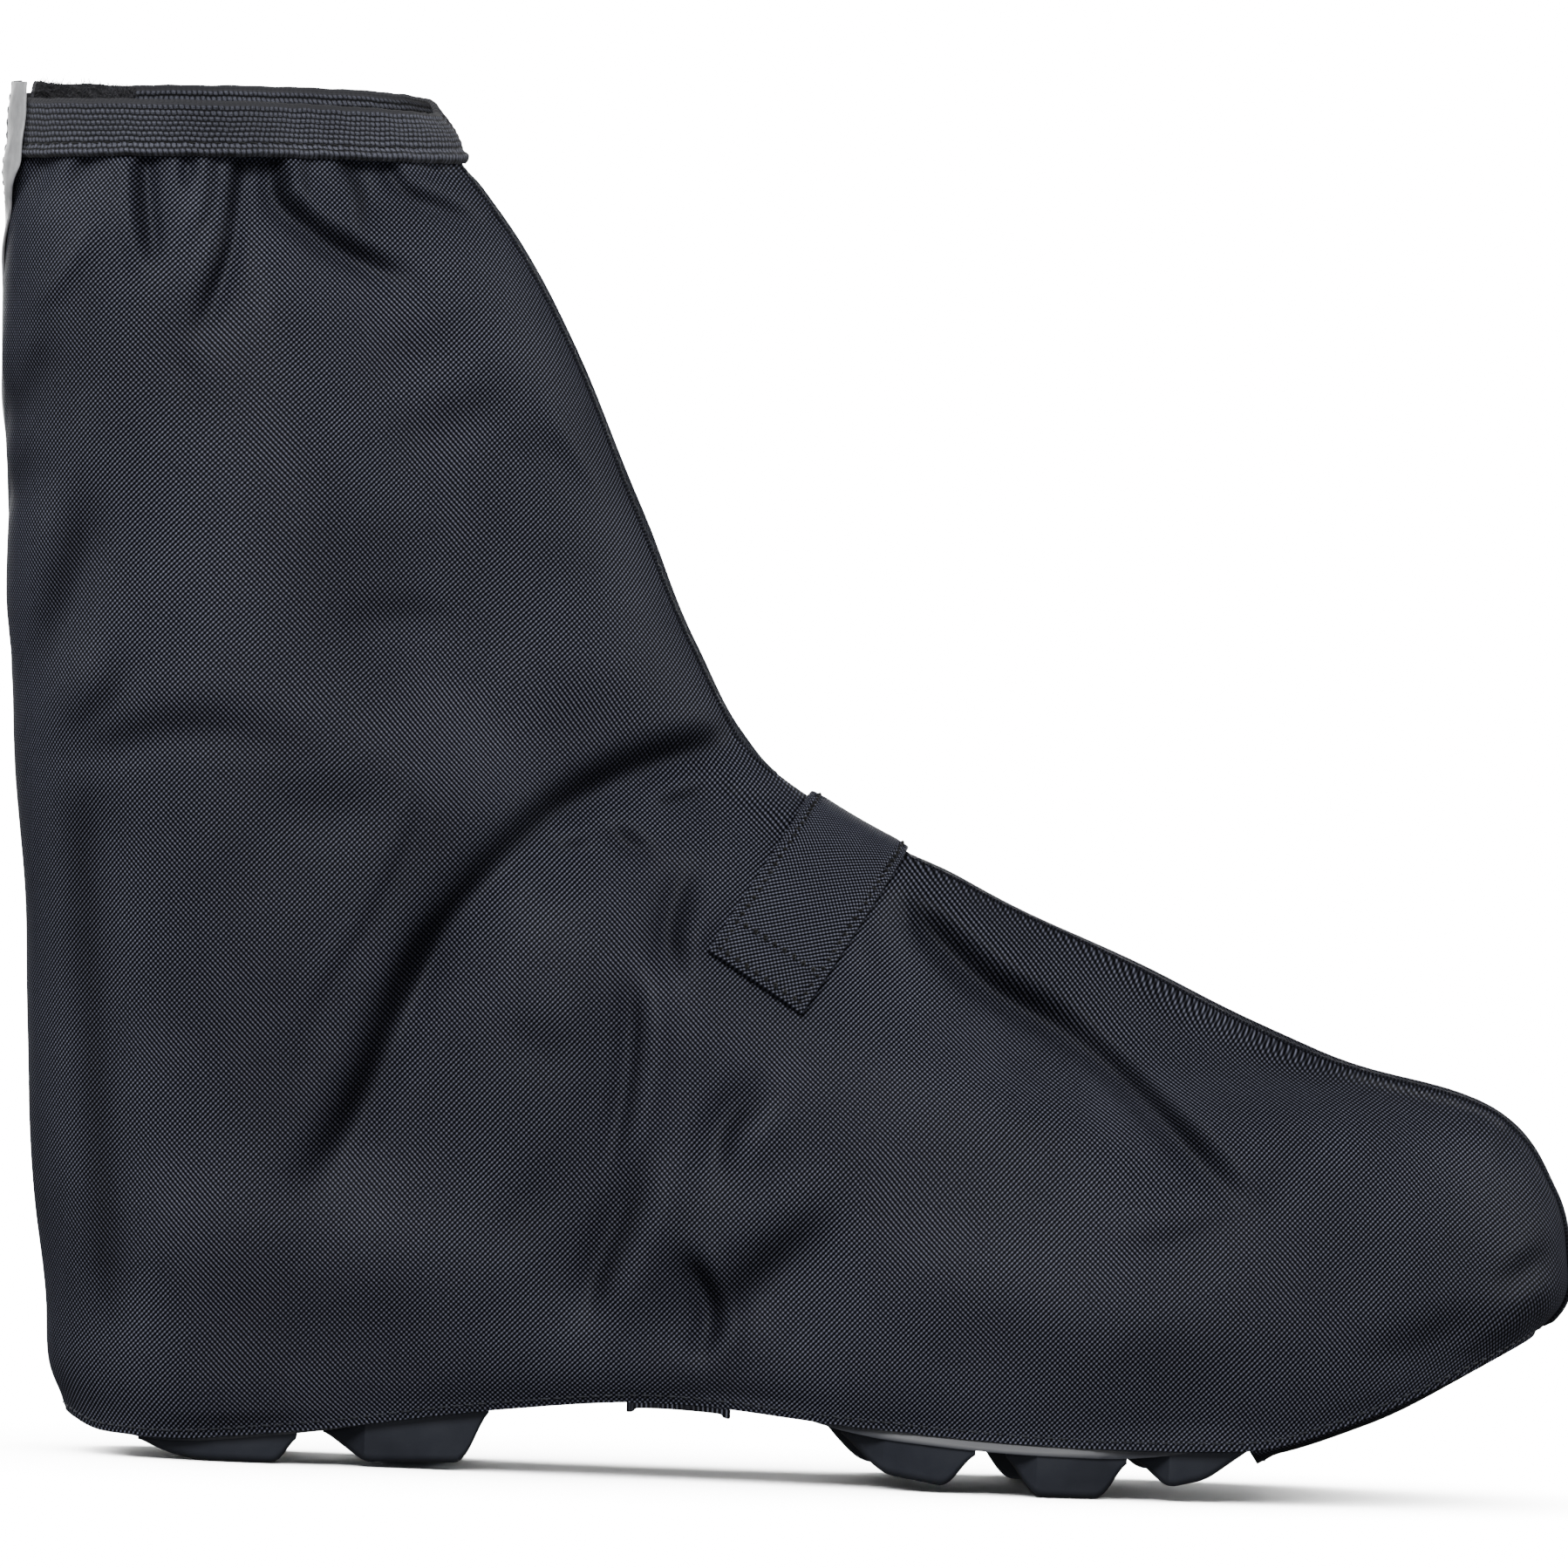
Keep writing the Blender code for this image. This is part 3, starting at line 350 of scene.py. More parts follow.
def column(table, name):
    return [getattr(row, name) for row in table]


def ring_value(name, level):
    return smooth(range(len(RINGS)), column(RINGS, name), level)


def hem_height(x):
    return smooth(column(HEM, "x"), column(HEM, "z"), x)


def nose(distance, length, power):
    """Share of the full half-width at a distance from a ring's rounded end."""
    reach = np.clip(1 - distance / length, 0, 1)
    return (1 - reach**power) ** (1 / power)


def half_width(level, share, length, medial):
    """Half-width of a ring at a share of its length, on the medial or the lateral side."""
    heel, waist, ball = (ring_value(name, level) for name in ("heel", "waist", "ball"))
    arch = MEDIAL_ARCH * medial * np.clip(1 - level / LEVEL["vamp"], 0, 1)
    to_waist = ease(HEEL_AT, WAIST_AT, share)
    to_ball = ease(WAIST_AT, BALL_AT, share)
    body = heel + (waist - arch - heel) * to_waist + (ball - waist + arch) * to_ball
    back = nose(share * length, ring_value("back_nose", level), BACK_POWER)
    front = nose((1 - share) * length, ring_value("front_nose", level), ring_value("front_power", level))
    return body * back * front


def last_point(level, turn):
    """The smooth surface of the last, as an array with x, y and z last."""
    level, turn = np.broadcast_arrays(np.asarray(level, float), np.asarray(turn, float))
    share = (1 - np.cos(turn)) / 2
    back_x, front_x = ring_value("back_x", level), ring_value("front_x", level)
    back_z, front_z = ring_value("back_z", level), ring_value("front_z", level)
    x = back_x + (front_x - back_x) * share
    side = -np.sign(np.round(np.sin(turn), 9))
    half = half_width(level, share, front_x - back_x, side > 0)
    y = TOE_SWING * ease(SWING_FROM, SWING_TO, x) + side * half
    rise = share**TOE_RISE
    flat_hem = RINGS[0].back_z + (RINGS[0].front_z - RINGS[0].back_z) * rise
    fade = np.clip(1 - level / HEM_FADE, 0, 1) ** 2
    z = back_z + (front_z - back_z) * rise + (hem_height(x) - flat_hem) * fade
    z = z + COLLAR_ARCH * np.sin(turn) ** 2 * ease(LEVEL["gather"] - 0.5, LEVEL["band_low"], level)
    return np.stack([x, y, z], axis=-1)


def last_normal(level, turn):
    """Unit normal of the last, pointing out."""
    step = 1e-3
    low = np.maximum(np.asarray(level, float) - step, 0)
    high = np.minimum(np.asarray(level, float) + step, len(RINGS) - 1)
    along = last_point(level, turn + step) - last_point(level, turn - step)
    up = last_point(high, turn) - last_point(low, turn)
    normal = np.cross(along, up)
    return normal / np.linalg.norm(normal, axis=-1, keepdims=True)


def solve(function, low, high, steps=30):
    """Where a rising function of arrays crosses zero between two arrays of bounds."""
    low, high = np.array(low, float), np.array(high, float)
    for _ in range(steps):
        middle = (low + high) / 2
        below = function(middle) < 0
        low, high = np.where(below, middle, low), np.where(below, high, middle)
    return (low + high) / 2


def hem_turn(x, medial):
    """The turn at which the hem's ring passes x on one side."""
    share = (np.asarray(x, float) - RINGS[0].back_x) / (RINGS[0].front_x - RINGS[0].back_x)
    lateral = np.arccos(np.clip(1 - 2 * share, -1, 1))
    return 2 * math.pi - lateral if medial else lateral


def width_turn(level, width, at_toe, medial):
    """The turn at which a ring is width wide on one side, near its toe end or its heel end."""
    level, width = np.broadcast_arrays(np.asarray(level, float), np.asarray(width, float))
    length = ring_value("front_x", level) - ring_value("back_x", level)

    def short_of(angle):
        share = (1 - np.cos(math.pi - angle if at_toe else angle)) / 2
        return half_width(level, share, length, medial) - width

    angle = solve(short_of, np.zeros(level.shape), np.full(level.shape, math.pi / 3))
    lateral = math.pi - angle if at_toe else angle
    return 2 * math.pi - lateral if medial else lateral


def strap_place(points):
    """Across and along places of points in the instep strap's own frame, seen from the side."""
    run = np.array([-math.cos(STRAP_SLOPE), -math.sin(STRAP_SLOPE)])
    out = np.array([math.sin(STRAP_SLOPE), -math.cos(STRAP_SLOPE)])
    away = points[..., [0, 2]] - np.array(STRAP_CENTRE)
    return away @ out, away @ run


def strap_grid():
    """Levels and turns over the strap, from its lateral end over the instep to its medial end."""
    across = np.linspace(-STRAP_WIDTH / 2, STRAP_WIDTH / 2, STRAP_COLUMNS)

    def level_on_line(turn):
        bounds = np.full(turn.shape, 3.0), np.full(turn.shape, 9.5)
        return solve(lambda level: across - strap_place(last_point(level, turn))[0], *bounds)

    def past_end(turn):
        return STRAP_END - strap_place(last_point(level_on_line(turn), turn))[1]

    end = solve(past_end, np.full(across.shape, 1.2), np.full(across.shape, math.pi - 0.05))
    turn = end + (math.pi - end) * np.linspace(0, 1, STRAP_ROWS)[:, None]
    level = level_on_line(turn)
    return np.concatenate([level, level[-2::-1]]), np.concatenate([turn, 2 * math.pi - turn[-2::-1]])


def fold_relief(fold, x, z):
    """How far one fold moves the cloth out at places in side view, and how strongly painted crease shade
    darkens them.
    """
    path = np.array(fold.path, float)
    knots = np.arange(len(path))
    fine = np.linspace(0, len(path) - 1, PATH_STEPS * len(path))
    line = np.stack([smooth(knots, path[:, 0], fine), smooth(knots, path[:, 1], fine)], axis=-1)
    ahead = np.gradient(line, axis=0)
    length = np.linalg.norm(ahead, axis=1)
    left = np.stack([-ahead[:, 1], ahead[:, 0]], axis=-1) / length[:, None]
    share = fine / fine[-1]
    strength = length * (1 - ease(1 - fold.fade_out, 1, share) if fold.fade_out else 1.0)
    if fold.fade_in:
        strength = strength * ease(0, fold.fade_in, share)
    reach = FOLD_REACH * fold.width
    near = (x > line[:, 0].min() - reach) & (x < line[:, 0].max() + reach)
    near &= (z > line[:, 1].min() - reach) & (z < line[:, 1].max() + reach)
    place = np.stack([x[near], z[near]], axis=-1)

    def swept(centres, width):
        gap = ((place[:, None, :] - centres[None, :, :]) ** 2).sum(axis=2)
        return np.exp(-gap / width**2) @ strength / (width * math.sqrt(math.pi))

    height, crease = np.zeros(x.shape), np.zeros(x.shape)
    if fold.depth < 0:
        height[near] = -fold.depth * swept(line, fold.width)
        return height, crease
    crest = line + RIDGE_PLACE * fold.width * left
    soft_line = line - SOFT_PLACE * fold.width * left
    trough = STEEP_SHARE * swept(line, fold.width) + SOFT_SHARE * swept(soft_line, SOFT_SPREAD * fold.width)
    height[near] = fold.ridge * swept(crest, RIDGE_SPREAD * fold.width) - fold.depth * trough
    # painted shade: a darkening share along the steep wall of the trough, kept for the cloth's colour
    shade_line = line + CREASE_SHADE_PLACE * fold.width * left
    crease[near] = min(fold.depth / CREASE_SHADE_DEPTH, 1.0) * swept(shade_line, CREASE_SHADE_SPREAD * fold.width)
    return height, crease


def wave_height(points):
    """Slight unevenness of the cloth: a seeded sum of long waves through space."""
    chance = np.random.default_rng(WAVE_SEED)
    total = np.zeros(points.shape[:-1])
    for _ in range(WAVE_COUNT):
        length = chance.uniform(*WAVE_LENGTHS)
        heading = chance.normal(size=3)
        heading *= 2 * math.pi / length / np.linalg.norm(heading)
        total += WAVE_HEIGHT * length * np.sin(points @ heading + chance.uniform(0, 2 * math.pi))
    return total


def cloth_relief(level, turn):
    """How far the folds move the cloth out from the last, and how strongly painted crease shade darkens it,
    from 0 to 1.
    """
    points = last_point(level, turn)
    level = np.broadcast_to(level, points.shape[:-1])
    middle = TOE_SWING * ease(SWING_FROM, SWING_TO, points[..., 0])
    medial = points[..., 1] > middle
    x = points[..., 0] - MEDIAL_FOLD_SHIFT[0] * medial
    z = points[..., 2] - MEDIAL_FOLD_SHIFT[1] * medial * (1 - ease(*SHIFT_FADE, level))
    across, along = strap_place(points)
    under_strap = (1 - ease(*STRAP_CALM_ACROSS, np.abs(across))) * (1 - ease(*STRAP_CALM_ALONG, along))
    calm = ease(*SEAM_CALM, np.abs(points[..., 1] - middle)) * (1 - STRAP_CALM * under_strap)
    height, crease = np.zeros(x.shape), np.zeros(x.shape)
    for fold in FOLDS:
        more_height, more_shade = fold_relief(fold, x, z)
        height += more_height
        crease += more_shade
    height = (height * calm + wave_height(points)) * (1 - ease(*TOP_CALM, level)) * ease(*HEM_CALM, level)
    return height, np.clip(crease * calm, 0, 1)


def fold_heading(level, turn):
    """The way folds move the cloth: out of the last, but more to the side than up or along."""
    heading = last_normal(level, turn) * np.array(FOLD_HEADING)
    return heading / np.linalg.norm(heading, axis=-1, keepdims=True)


def cloth_point(level, turn, lift=0.0):
    """A point of the folded cloth, or one that lies lift above it."""
    folds = fold_heading(level, turn) * cloth_relief(level, turn)[0][..., None]
    lift = np.broadcast_to(lift, folds.shape[:-1])
    return last_point(level, turn) + folds + last_normal(level, turn) * lift[..., None]


def flatten(points):
    """A flat pattern of a panel: a net of its points relaxed until its cords have their true lengths."""
    rows, columns = points.shape[:2]
    flat = points[..., [0, 2]].copy()
    steps = [((0, 1), (0, 0)), ((1, 0), (0, 0)), ((1, 1), (0, 0)), ((1, 0), (0, 1))]
    cords = []
    for (down, right), (down_too, right_too) in steps:
        height, width = rows - max(down, down_too), columns - max(right, right_too)
        first = (slice(down_too, down_too + height), slice(right_too, right_too + width))
        second = (slice(down, down + height), slice(right, right + width))
        cords.append((first, second, np.linalg.norm(points[second] - points[first], axis=-1)))
    turned = points.swapaxes(0, 1)
    lengths = {net.shape[:2]: np.linalg.norm(np.diff(net, axis=0), axis=-1) for net in (points, turned)}
    for _ in range(FLATTEN_STEPS):
        push = np.zeros(flat.shape)
        for first, second, true_length in cords:
            gap = flat[second] - flat[first]
            length = np.maximum(np.linalg.norm(gap, axis=-1), 1e-6)
            pull = gap * (0.5 * (length - true_length) / length)[..., None]
            push[first] += pull
            push[second] -= pull
        flat += FLATTEN_PUSH * push
    for _ in range(EVEN_STEPS):
        for line in (flat, flat.swapaxes(0, 1)):
            near = 1 / np.maximum(lengths[line.shape[:2]], 0.05)[..., None]
            between = (line[:-2] * near[:-1] + line[2:] * near[1:]) / (near[:-1] + near[1:])
            line[1:-1] = (line[1:-1] + between) / 2
    return flat


def spread(coarse, row_places, column_places):
    """Values of a coarse grid read smoothly between its points, at shares of its rows and columns."""

    def taps(places, count):
        at = np.clip(places * (count - 1), 0, count - 1.001)
        first = at.astype(int)
        t = at - first
        weights = [t * (t * (2 - t) - 1), t * t * (3 * t - 5) + 2, t * (t * (4 - 3 * t) + 1), t * t * (t - 1)]
        return [(np.clip(first + step - 1, 0, count - 1), weight / 2) for step, weight in enumerate(weights)]

    total = np.zeros(np.shape(row_places) + coarse.shape[2:])
    for row, row_weight in taps(row_places, coarse.shape[0]):
        for col, col_weight in taps(column_places, coarse.shape[1]):
            total += coarse[row, col] * (row_weight * col_weight)[..., None]
    return total


def to_frame(points):
    return (np.asarray(points, float) - ORIGIN) * MM


def add_piece(name, points, faces, uvs, material, replaces=(), smooth_angle=50):
    """One mesh piece in the part's frame, with a UV in millimetres at each point, riding on the part."""
    mesh = bpy.data.meshes.new(name)
    mesh.from_pydata(to_frame(points).tolist(), [], faces)
    if uvs is not None:
        layer = mesh.uv_layers.new(name="cloth")
        corner_points = np.empty(len(mesh.loops), int)
        mesh.loops.foreach_get("vertex_index", corner_points)
        layer.data.foreach_set("uv", np.asarray(uvs, float)[corner_points].ravel())
    mesh.materials.append(material)
    mesh.shade_smooth()
    mesh.set_sharp_from_angle(angle=math.radians(smooth_angle))
    piece = bpy.data.objects.new(name, mesh)
    bpy.context.scene.collection.objects.link(piece)
    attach(piece, BODY)
    if replaces:
        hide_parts(*replaces)
    return piece


def tidy_mesh(piece):
    """Turns all faces of a closed piece outwards."""
    shape = bmesh.new()
    shape.from_mesh(piece.data)
    bmesh.ops.recalc_face_normals(shape, faces=shape.faces)
    shape.to_mesh(piece.data)
    shape.free()


def round_edges(piece, width):
    bevel = piece.modifiers.new("round_edges", "BEVEL")
    bevel.width = width * MM
    bevel.segments = 2
    bevel.limit_method = "ANGLE"
    bevel.angle_limit = math.radians(40)
    bevel.harden_normals = False


def grid_faces(rows, columns, start=0, closed=False):
    """Quads of a grid of points that begins at index start, closed round its columns or open."""
    row, col = np.meshgrid(np.arange(rows - 1), np.arange(columns if closed else columns - 1), indexing="ij")
    right = (col + 1) % columns
    here, above = start + row * columns, start + (row + 1) * columns
    return np.stack([here + col, here + right, above + right, above + col], axis=-1).reshape(-1, 4).tolist()


def sheet_shell(outer, inner):
    """Points and faces of a strip between two open grids of the same size."""
    rows, columns = outer.shape[:2]
    second = rows * columns
    faces = grid_faces(rows, columns) + grid_faces(rows, columns, second)
    edge = [(0, col) for col in range(columns)]
    edge += [(row, columns - 1) for row in range(1, rows)]
    edge += [(rows - 1, col) for col in range(columns - 2, -1, -1)]
    edge += [(row, 0) for row in range(rows - 2, 0, -1)]
    loop = [row * columns + col for row, col in edge]
    for a, b in zip(loop, loop[1:] + loop[:1]):
        faces.append((a, b, second + b, second + a))
    return np.concatenate([outer.reshape(-1, 3), inner.reshape(-1, 3)]), faces


def run_lengths(points, axis):
    """Distance along one axis of a grid of points, from its first row or column."""
    steps = np.linalg.norm(np.diff(points, axis=axis), axis=-1)
    start = np.zeros_like(np.take(steps, [0], axis=axis))
    return np.concatenate([start, np.cumsum(steps, axis=axis)], axis=axis)


class Nodes:
    """Short calls to build one material's nodes."""

    def __init__(self, name):
        self.material = bpy.data.materials.new(name)
        self.material.use_nodes = True
        self.tree = self.material.node_tree
        self.shader = self.tree.nodes["Principled BSDF"]

    def add(self, kind, settings=None, **inputs):
        node = self.tree.nodes.new(kind)
        for name, value in (settings or {}).items():
            setattr(node, name, value)
        for name, value in inputs.items():
            self.put(node.inputs[name.replace("_", " ")], value)
        return node

    def put(self, socket, value):
        if isinstance(value, bpy.types.NodeSocket):
            self.tree.links.new(value, socket)
        else:
            socket.default_value = value

    def math(self, operation, *values):
        node = self.tree.nodes.new("ShaderNodeMath")
        node.operation = operation
        for socket, value in zip(node.inputs, values):
            self.put(socket, value)
        return node.outputs[0]

    def vector(self, operation, *values):
        node = self.tree.nodes.new("ShaderNodeVectorMath")
        node.operation = operation
        for socket, value in zip(node.inputs, values):
            self.put(socket, value)
        return node.outputs["Vector"]

    def ramp(self, value, stops):
        """Colours by value: stops are rows of place and linear grey or RGB."""
        node = self.tree.nodes.new("ShaderNodeValToRGB")
        band = node.color_ramp
        while len(band.elements) < len(stops):
            band.elements.new(0.5)
        for element, (place, colour) in zip(band.elements, stops):
            element.position = place
            element.color = (*colour, 1.0) if isinstance(colour, tuple) else (colour, colour, colour, 1.0)
        self.put(node.inputs["Fac"], value)
        return node.outputs["Color"]

    def mix(self, share, first, second, blend="MIX"):
        node = self.tree.nodes.new("ShaderNodeMix")
        node.data_type = "RGBA"
        node.blend_type = blend
        self.put(node.inputs["Factor"], share)
        self.put(node.inputs["A"], first)
        self.put(node.inputs["B"], second)
        return node.outputs["Result"]

    def noise(self, where, scale, detail):
        node = self.add("ShaderNodeTexNoise", Vector=where, Scale=scale, Detail=detail)
        return node.outputs["Fac"]

    def cloth_uv(self):
        node = self.tree.nodes.new("ShaderNodeUVMap")
        node.uv_map = "cloth"
        return node.outputs["UV"]

    def place(self):
        return self.tree.nodes.new("ShaderNodeTexCoord").outputs["Object"]

    def bump(self, height, strength, distance, below=None):
        node = self.add("ShaderNodeBump", Height=height, Strength=strength, Distance=distance * MM)
        if below is not None:
            self.put(node.inputs["Normal"], below)
        return node.outputs["Normal"]

    def set(self, **values):
        for name, value in values.items():
            self.put(self.shader.inputs[name.replace("_", " ")], value)
        return self.material


def weave(nodes, uv, warp, weft, lean):
    """Crowns of a plain weave from a UV in millimetres, from 0 in the holes to 1 on top.

    Crowns join into slanting rows: rising ones where lean is near 1, falling ones where it is near 0.
    """
    axes = nodes.add("ShaderNodeSeparateXYZ", Vector=uv)
    across = nodes.math("MULTIPLY", axes.outputs["X"], math.pi / warp)
    along = nodes.math("MULTIPLY", axes.outputs["Y"], math.pi / weft)
    rising = nodes.math("COSINE", nodes.math("SUBTRACT", across, along))
    falling = nodes.math("COSINE", nodes.math("ADD", across, along))
    sunk = nodes.math("MULTIPLY", falling, -1.0)
    both = nodes.math("MULTIPLY_ADD", nodes.math("ADD", rising, falling), lean, sunk)
    return nodes.math("MULTIPLY_ADD", both, 0.5, 0.5)


def drifted(nodes, uv, scale, reach):
    """A UV that wanders a little, so that threads don't run dead straight."""
    wander = nodes.add("ShaderNodeTexNoise", Vector=uv, Scale=scale, Detail=2.0).outputs["Color"]
    return nodes.vector("MULTIPLY_ADD", wander, (reach, reach, 0.0), uv)


def woven(name, dark, light, warp=0.54, weft=0.58):
    """A plain weave of coarse threads: painted shade, almost black, in the holes between small painted
    highlights on the crowns.
    """
    nodes = Nodes(name)
    uv, place = nodes.cloth_uv(), nodes.place()
    # lean sets the diagonal along which the painted crown highlights line up
    lean = nodes.ramp(nodes.noise(place, 30.0, 3.0), [(0.36, 0.3), (0.47, 0.5), (0.6, 0.68)])
    crown = weave(nodes, drifted(nodes, uv, 0.2, 0.08), warp, weft, lean)
    slub = nodes.math("MULTIPLY_ADD", nodes.noise(uv, 1.6, 3.0), 0.9, 0.55)
    # painted highlight on the crowns and painted shade in the holes, over the weave's pattern
    crown_highlight = nodes.math("MULTIPLY", nodes.math("POWER", crown, CROWN_HIGHLIGHT_POWER), slub)
    colour = nodes.ramp(crown_highlight, [(0.0, dark), (1.0, light)])
    patches = nodes.ramp(nodes.noise(place, 24.0, 3.0), [(0.3, 0.86), (0.7, 1.14)])
    colour = nodes.mix(1.0, colour, patches, "MULTIPLY")
    # painted shade: the crease attribute darkens the cloth's colour in fold troughs
    crease = nodes.add("ShaderNodeAttribute", {"attribute_name": "crease"}).outputs["Fac"]
    colour = nodes.mix(1.0, colour, nodes.math("MULTIPLY_ADD", crease, -CREASE_SHADE_STRENGTH, 1.0), "MULTIPLY")
    nodes.set(Base_Color=colour, Roughness=0.55, Normal=nodes.bump(crown, 0.4, WEAVE_DEPTH), Metallic=0.0)
    return nodes.set(Specular_IOR_Level=0.08)


def ribbed_elastic(name, dark, light):
    """Knitted elastic: short stitches in rows, each row set off by half a stitch from the next."""
    nodes = Nodes(name)
    uv, place = drifted(nodes, nodes.cloth_uv(), 0.4, 0.3), nodes.place()
    axes = nodes.add("ShaderNodeSeparateXYZ", Vector=uv)
    row = nodes.math("DIVIDE", axes.outputs["Y"], RIB_PITCH)
    set_off = nodes.math("MULTIPLY", nodes.math("FLOOR", row), 0.5)
    stitch = nodes.math("ADD", nodes.math("DIVIDE", axes.outputs["X"], KNIT_PITCH), set_off)
    rib = nodes.math("ABSOLUTE", nodes.math("SINE", nodes.math("MULTIPLY", row, math.pi)))
    dash = nodes.math("ABSOLUTE", nodes.math("SINE", nodes.math("MULTIPLY", stitch, math.pi)))
    height = nodes.math("MULTIPLY", nodes.math("POWER", dash, 0.6), rib)
    fuzz = nodes.noise(uv, 3.2, 4.0)
    crown = nodes.math("MULTIPLY", height, nodes.math("MULTIPLY_ADD", fuzz, 2.4, -0.3))
    colour = nodes.ramp(crown, [(0.15, dark), (0.95, light)])
    patches = nodes.ramp(nodes.noise(place, 40.0, 2.0), [(0.3, 0.85), (0.7, 1.12)])
    colour = nodes.mix(1.0, colour, patches, "MULTIPLY")
    # painted highlight: a light grey line over the top rows of the band's rim
    rim = nodes.ramp(nodes.math("DIVIDE", row, float(BAND_RIBS)), [(0.955, 0.0), (0.975, 1.0)])
    colour = nodes.mix(rim, colour, RIM_PAINTED_HIGHLIGHT)
    normal = nodes.bump(fuzz, 0.35, 0.12, nodes.bump(height, 0.8, 0.3))
    nodes.set(Base_Color=colour, Roughness=0.75, Normal=normal, Metallic=0.0)
    return nodes.set(Sheen_Weight=0.12, Sheen_Roughness=0.5, Specular_IOR_Level=0.25)


def moulded_rubber(name, dark, light):
    """Satin rubber, turned light grey where the ledge_grey attribute says so."""
    nodes = Nodes(name)
    place = nodes.place()
    broad = nodes.noise(place, 60.0, 4.0)
    grain = nodes.noise(place, 2600.0, 2.0)
    ledge_grey = nodes.add("ShaderNodeAttribute", {"attribute_name": "ledge_grey"}).outputs["Fac"]
    colour = nodes.mix(ledge_grey, nodes.ramp(broad, [(0.3, dark), (0.7, light)]), LEDGE_GREY)
    rough = nodes.ramp(nodes.noise(place, 220.0, 3.0), [(0.3, 0.42), (0.7, 0.62)])
    normal = nodes.bump(grain, 0.25, 0.05, nodes.bump(broad, 0.25, 0.6))
    nodes.set(Base_Color=colour, Roughness=rough, Normal=normal, Metallic=0.0)
    return nodes.set(Specular_IOR_Level=0.5)


def reflective(name):
    """Grey retro-reflective film with fine cross-hatching and a few scuffs."""
    nodes = Nodes(name)
    uv, place = nodes.cloth_uv(), nodes.place()
    hatch = weave(nodes, uv, 0.6, 0.6, 0.5)
    scuff = nodes.noise(place, 300.0, 4.0)
    colour = nodes.ramp(scuff, [(0.3, (0.6, 0.61, 0.63)), (0.65, (0.9, 0.91, 0.93))])
    normal = nodes.bump(hatch, 0.15, 0.04)
    nodes.set(Base_Color=colour, Roughness=0.38, Metallic=0.0, Normal=normal)
    return nodes.set(Sheen_Weight=0.3, Specular_IOR_Level=0.6)


def fibre(name, colour, roughness=0.7, gain=2.1):
    """Sewing thread or pile: plied strands, seen as fine slanted lines."""
    nodes = Nodes(name)
    place = nodes.place()
    strands = nodes.noise(place, 1800.0, 2.0)
    lighter = tuple(min(1.0, gain * c) for c in colour)
    tint = nodes.ramp(strands, [(0.35, colour), (0.7, lighter)])
    nodes.set(Base_Color=tint, Roughness=roughness, Metallic=0.0, Normal=nodes.bump(strands, 0.4, 0.05))
    return nodes.set(Sheen_Weight=0.3, Specular_IOR_Level=0.4)


def coated(name):
    """The cover's inside: a smooth dark coating on the cloth."""
    nodes = Nodes(name)
    place = nodes.place()
    mottle = nodes.noise(place, 90.0, 4.0)
    colour = nodes.ramp(mottle, [(0.3, (0.016, 0.016, 0.019)), (0.7, (0.032, 0.033, 0.037))])
    fine = nodes.noise(place, 1500.0, 2.0)
    nodes.set(Base_Color=colour, Roughness=0.5, Metallic=0.0, Normal=nodes.bump(fine, 0.2, 0.06))
    return nodes.set(Specular_IOR_Level=0.4)


def panel_pattern(medial):
    """The flat pattern of one side's panel over a coarse net of levels and turns, in millimetres."""
    level = np.linspace(0, UPPER_TOP, FLAT_ROWS)[:, None]
    turn = np.linspace(0, math.pi, FLAT_TURNS)[None, :]
    turn = 2 * math.pi - turn if medial else turn
    return flatten(last_point(level, turn))


def panel_uv(pattern, level, turn, medial):
    return spread(pattern, level / UPPER_TOP, (2 * math.pi - turn if medial else turn) / math.pi)


def panel_turns(count, medial):
    """Turns round one side of the cover, closer together along the side than round its ends."""
    share = np.linspace(0, 1, count + 1)
    turn = math.pi * share + MIDDLE_DENSITY * np.sin(2 * math.pi * share) / 2
    return math.pi + turn if medial else turn


def add_panel(name, medial, turns, rows, material, replaces):
    """One side panel of the cover, with its turned-in hem."""
    level = np.concatenate([column(HEM_TURN, "level"), np.linspace(0.015, UPPER_TOP, rows)])
    fields = ("lift", "drop", "run")
    lift, drop, run = (np.concatenate([column(HEM_TURN, field), np.zeros(rows)]) for field in fields)
    level, turn = np.meshgrid(level, panel_turns(turns, medial), indexing="ij")
    height, crease = cloth_relief(level, turn)
    grid = last_point(level, turn) + fold_heading(level, turn) * height[..., None]
    grid += last_normal(level, turn) * lift[:, None, None]
    grid[..., 2] -= drop[:, None]
    uv = panel_uv(panel_pattern(medial), level, turn, medial)
    uv[..., 1] -= run[:, None]
    faces = grid_faces(*level.shape)
    panel = add_piece(name, grid.reshape(-1, 3), faces, uv.reshape(-1, 2), material, replaces)
    # painted shade: the crease attribute, which darkens the cloth's colour in fold troughs
    crease_shade = panel.data.attributes.new("crease", "FLOAT", "POINT")
    crease_shade.data.foreach_set("value", crease.ravel())


def add_cloth_upper(material, lining):
    """The two side panels, which meet at the front seam and the back, and the coated inside."""
    add_panel("cloth_lateral", False, LATERAL_TURNS, LATERAL_ROWS, material, ["upper"])
    add_panel("cloth_medial", True, MEDIAL_TURNS, MEDIAL_ROWS, material, [])
    level = np.linspace(LINING_FROM, UPPER_TOP, LINING_ROWS)
    turn = np.concatenate([panel_turns(LINING_TURNS, False)[:-1], panel_turns(LINING_TURNS, True)[:-1]])
    level, turn = np.meshgrid(level, turn, indexing="ij")
    depth = LINING_FOLD * np.minimum(cloth_relief(level, turn)[0], 0)
    grid = last_point(level, turn) + fold_heading(level, turn) * depth[..., None]
    grid -= last_normal(level, turn) * (WALL + LINING_GAP)
    inside = [face[::-1] for face in grid_faces(*level.shape, closed=True)]
    add_piece("cloth_inside", grid.reshape(-1, 3), inside, None, lining)


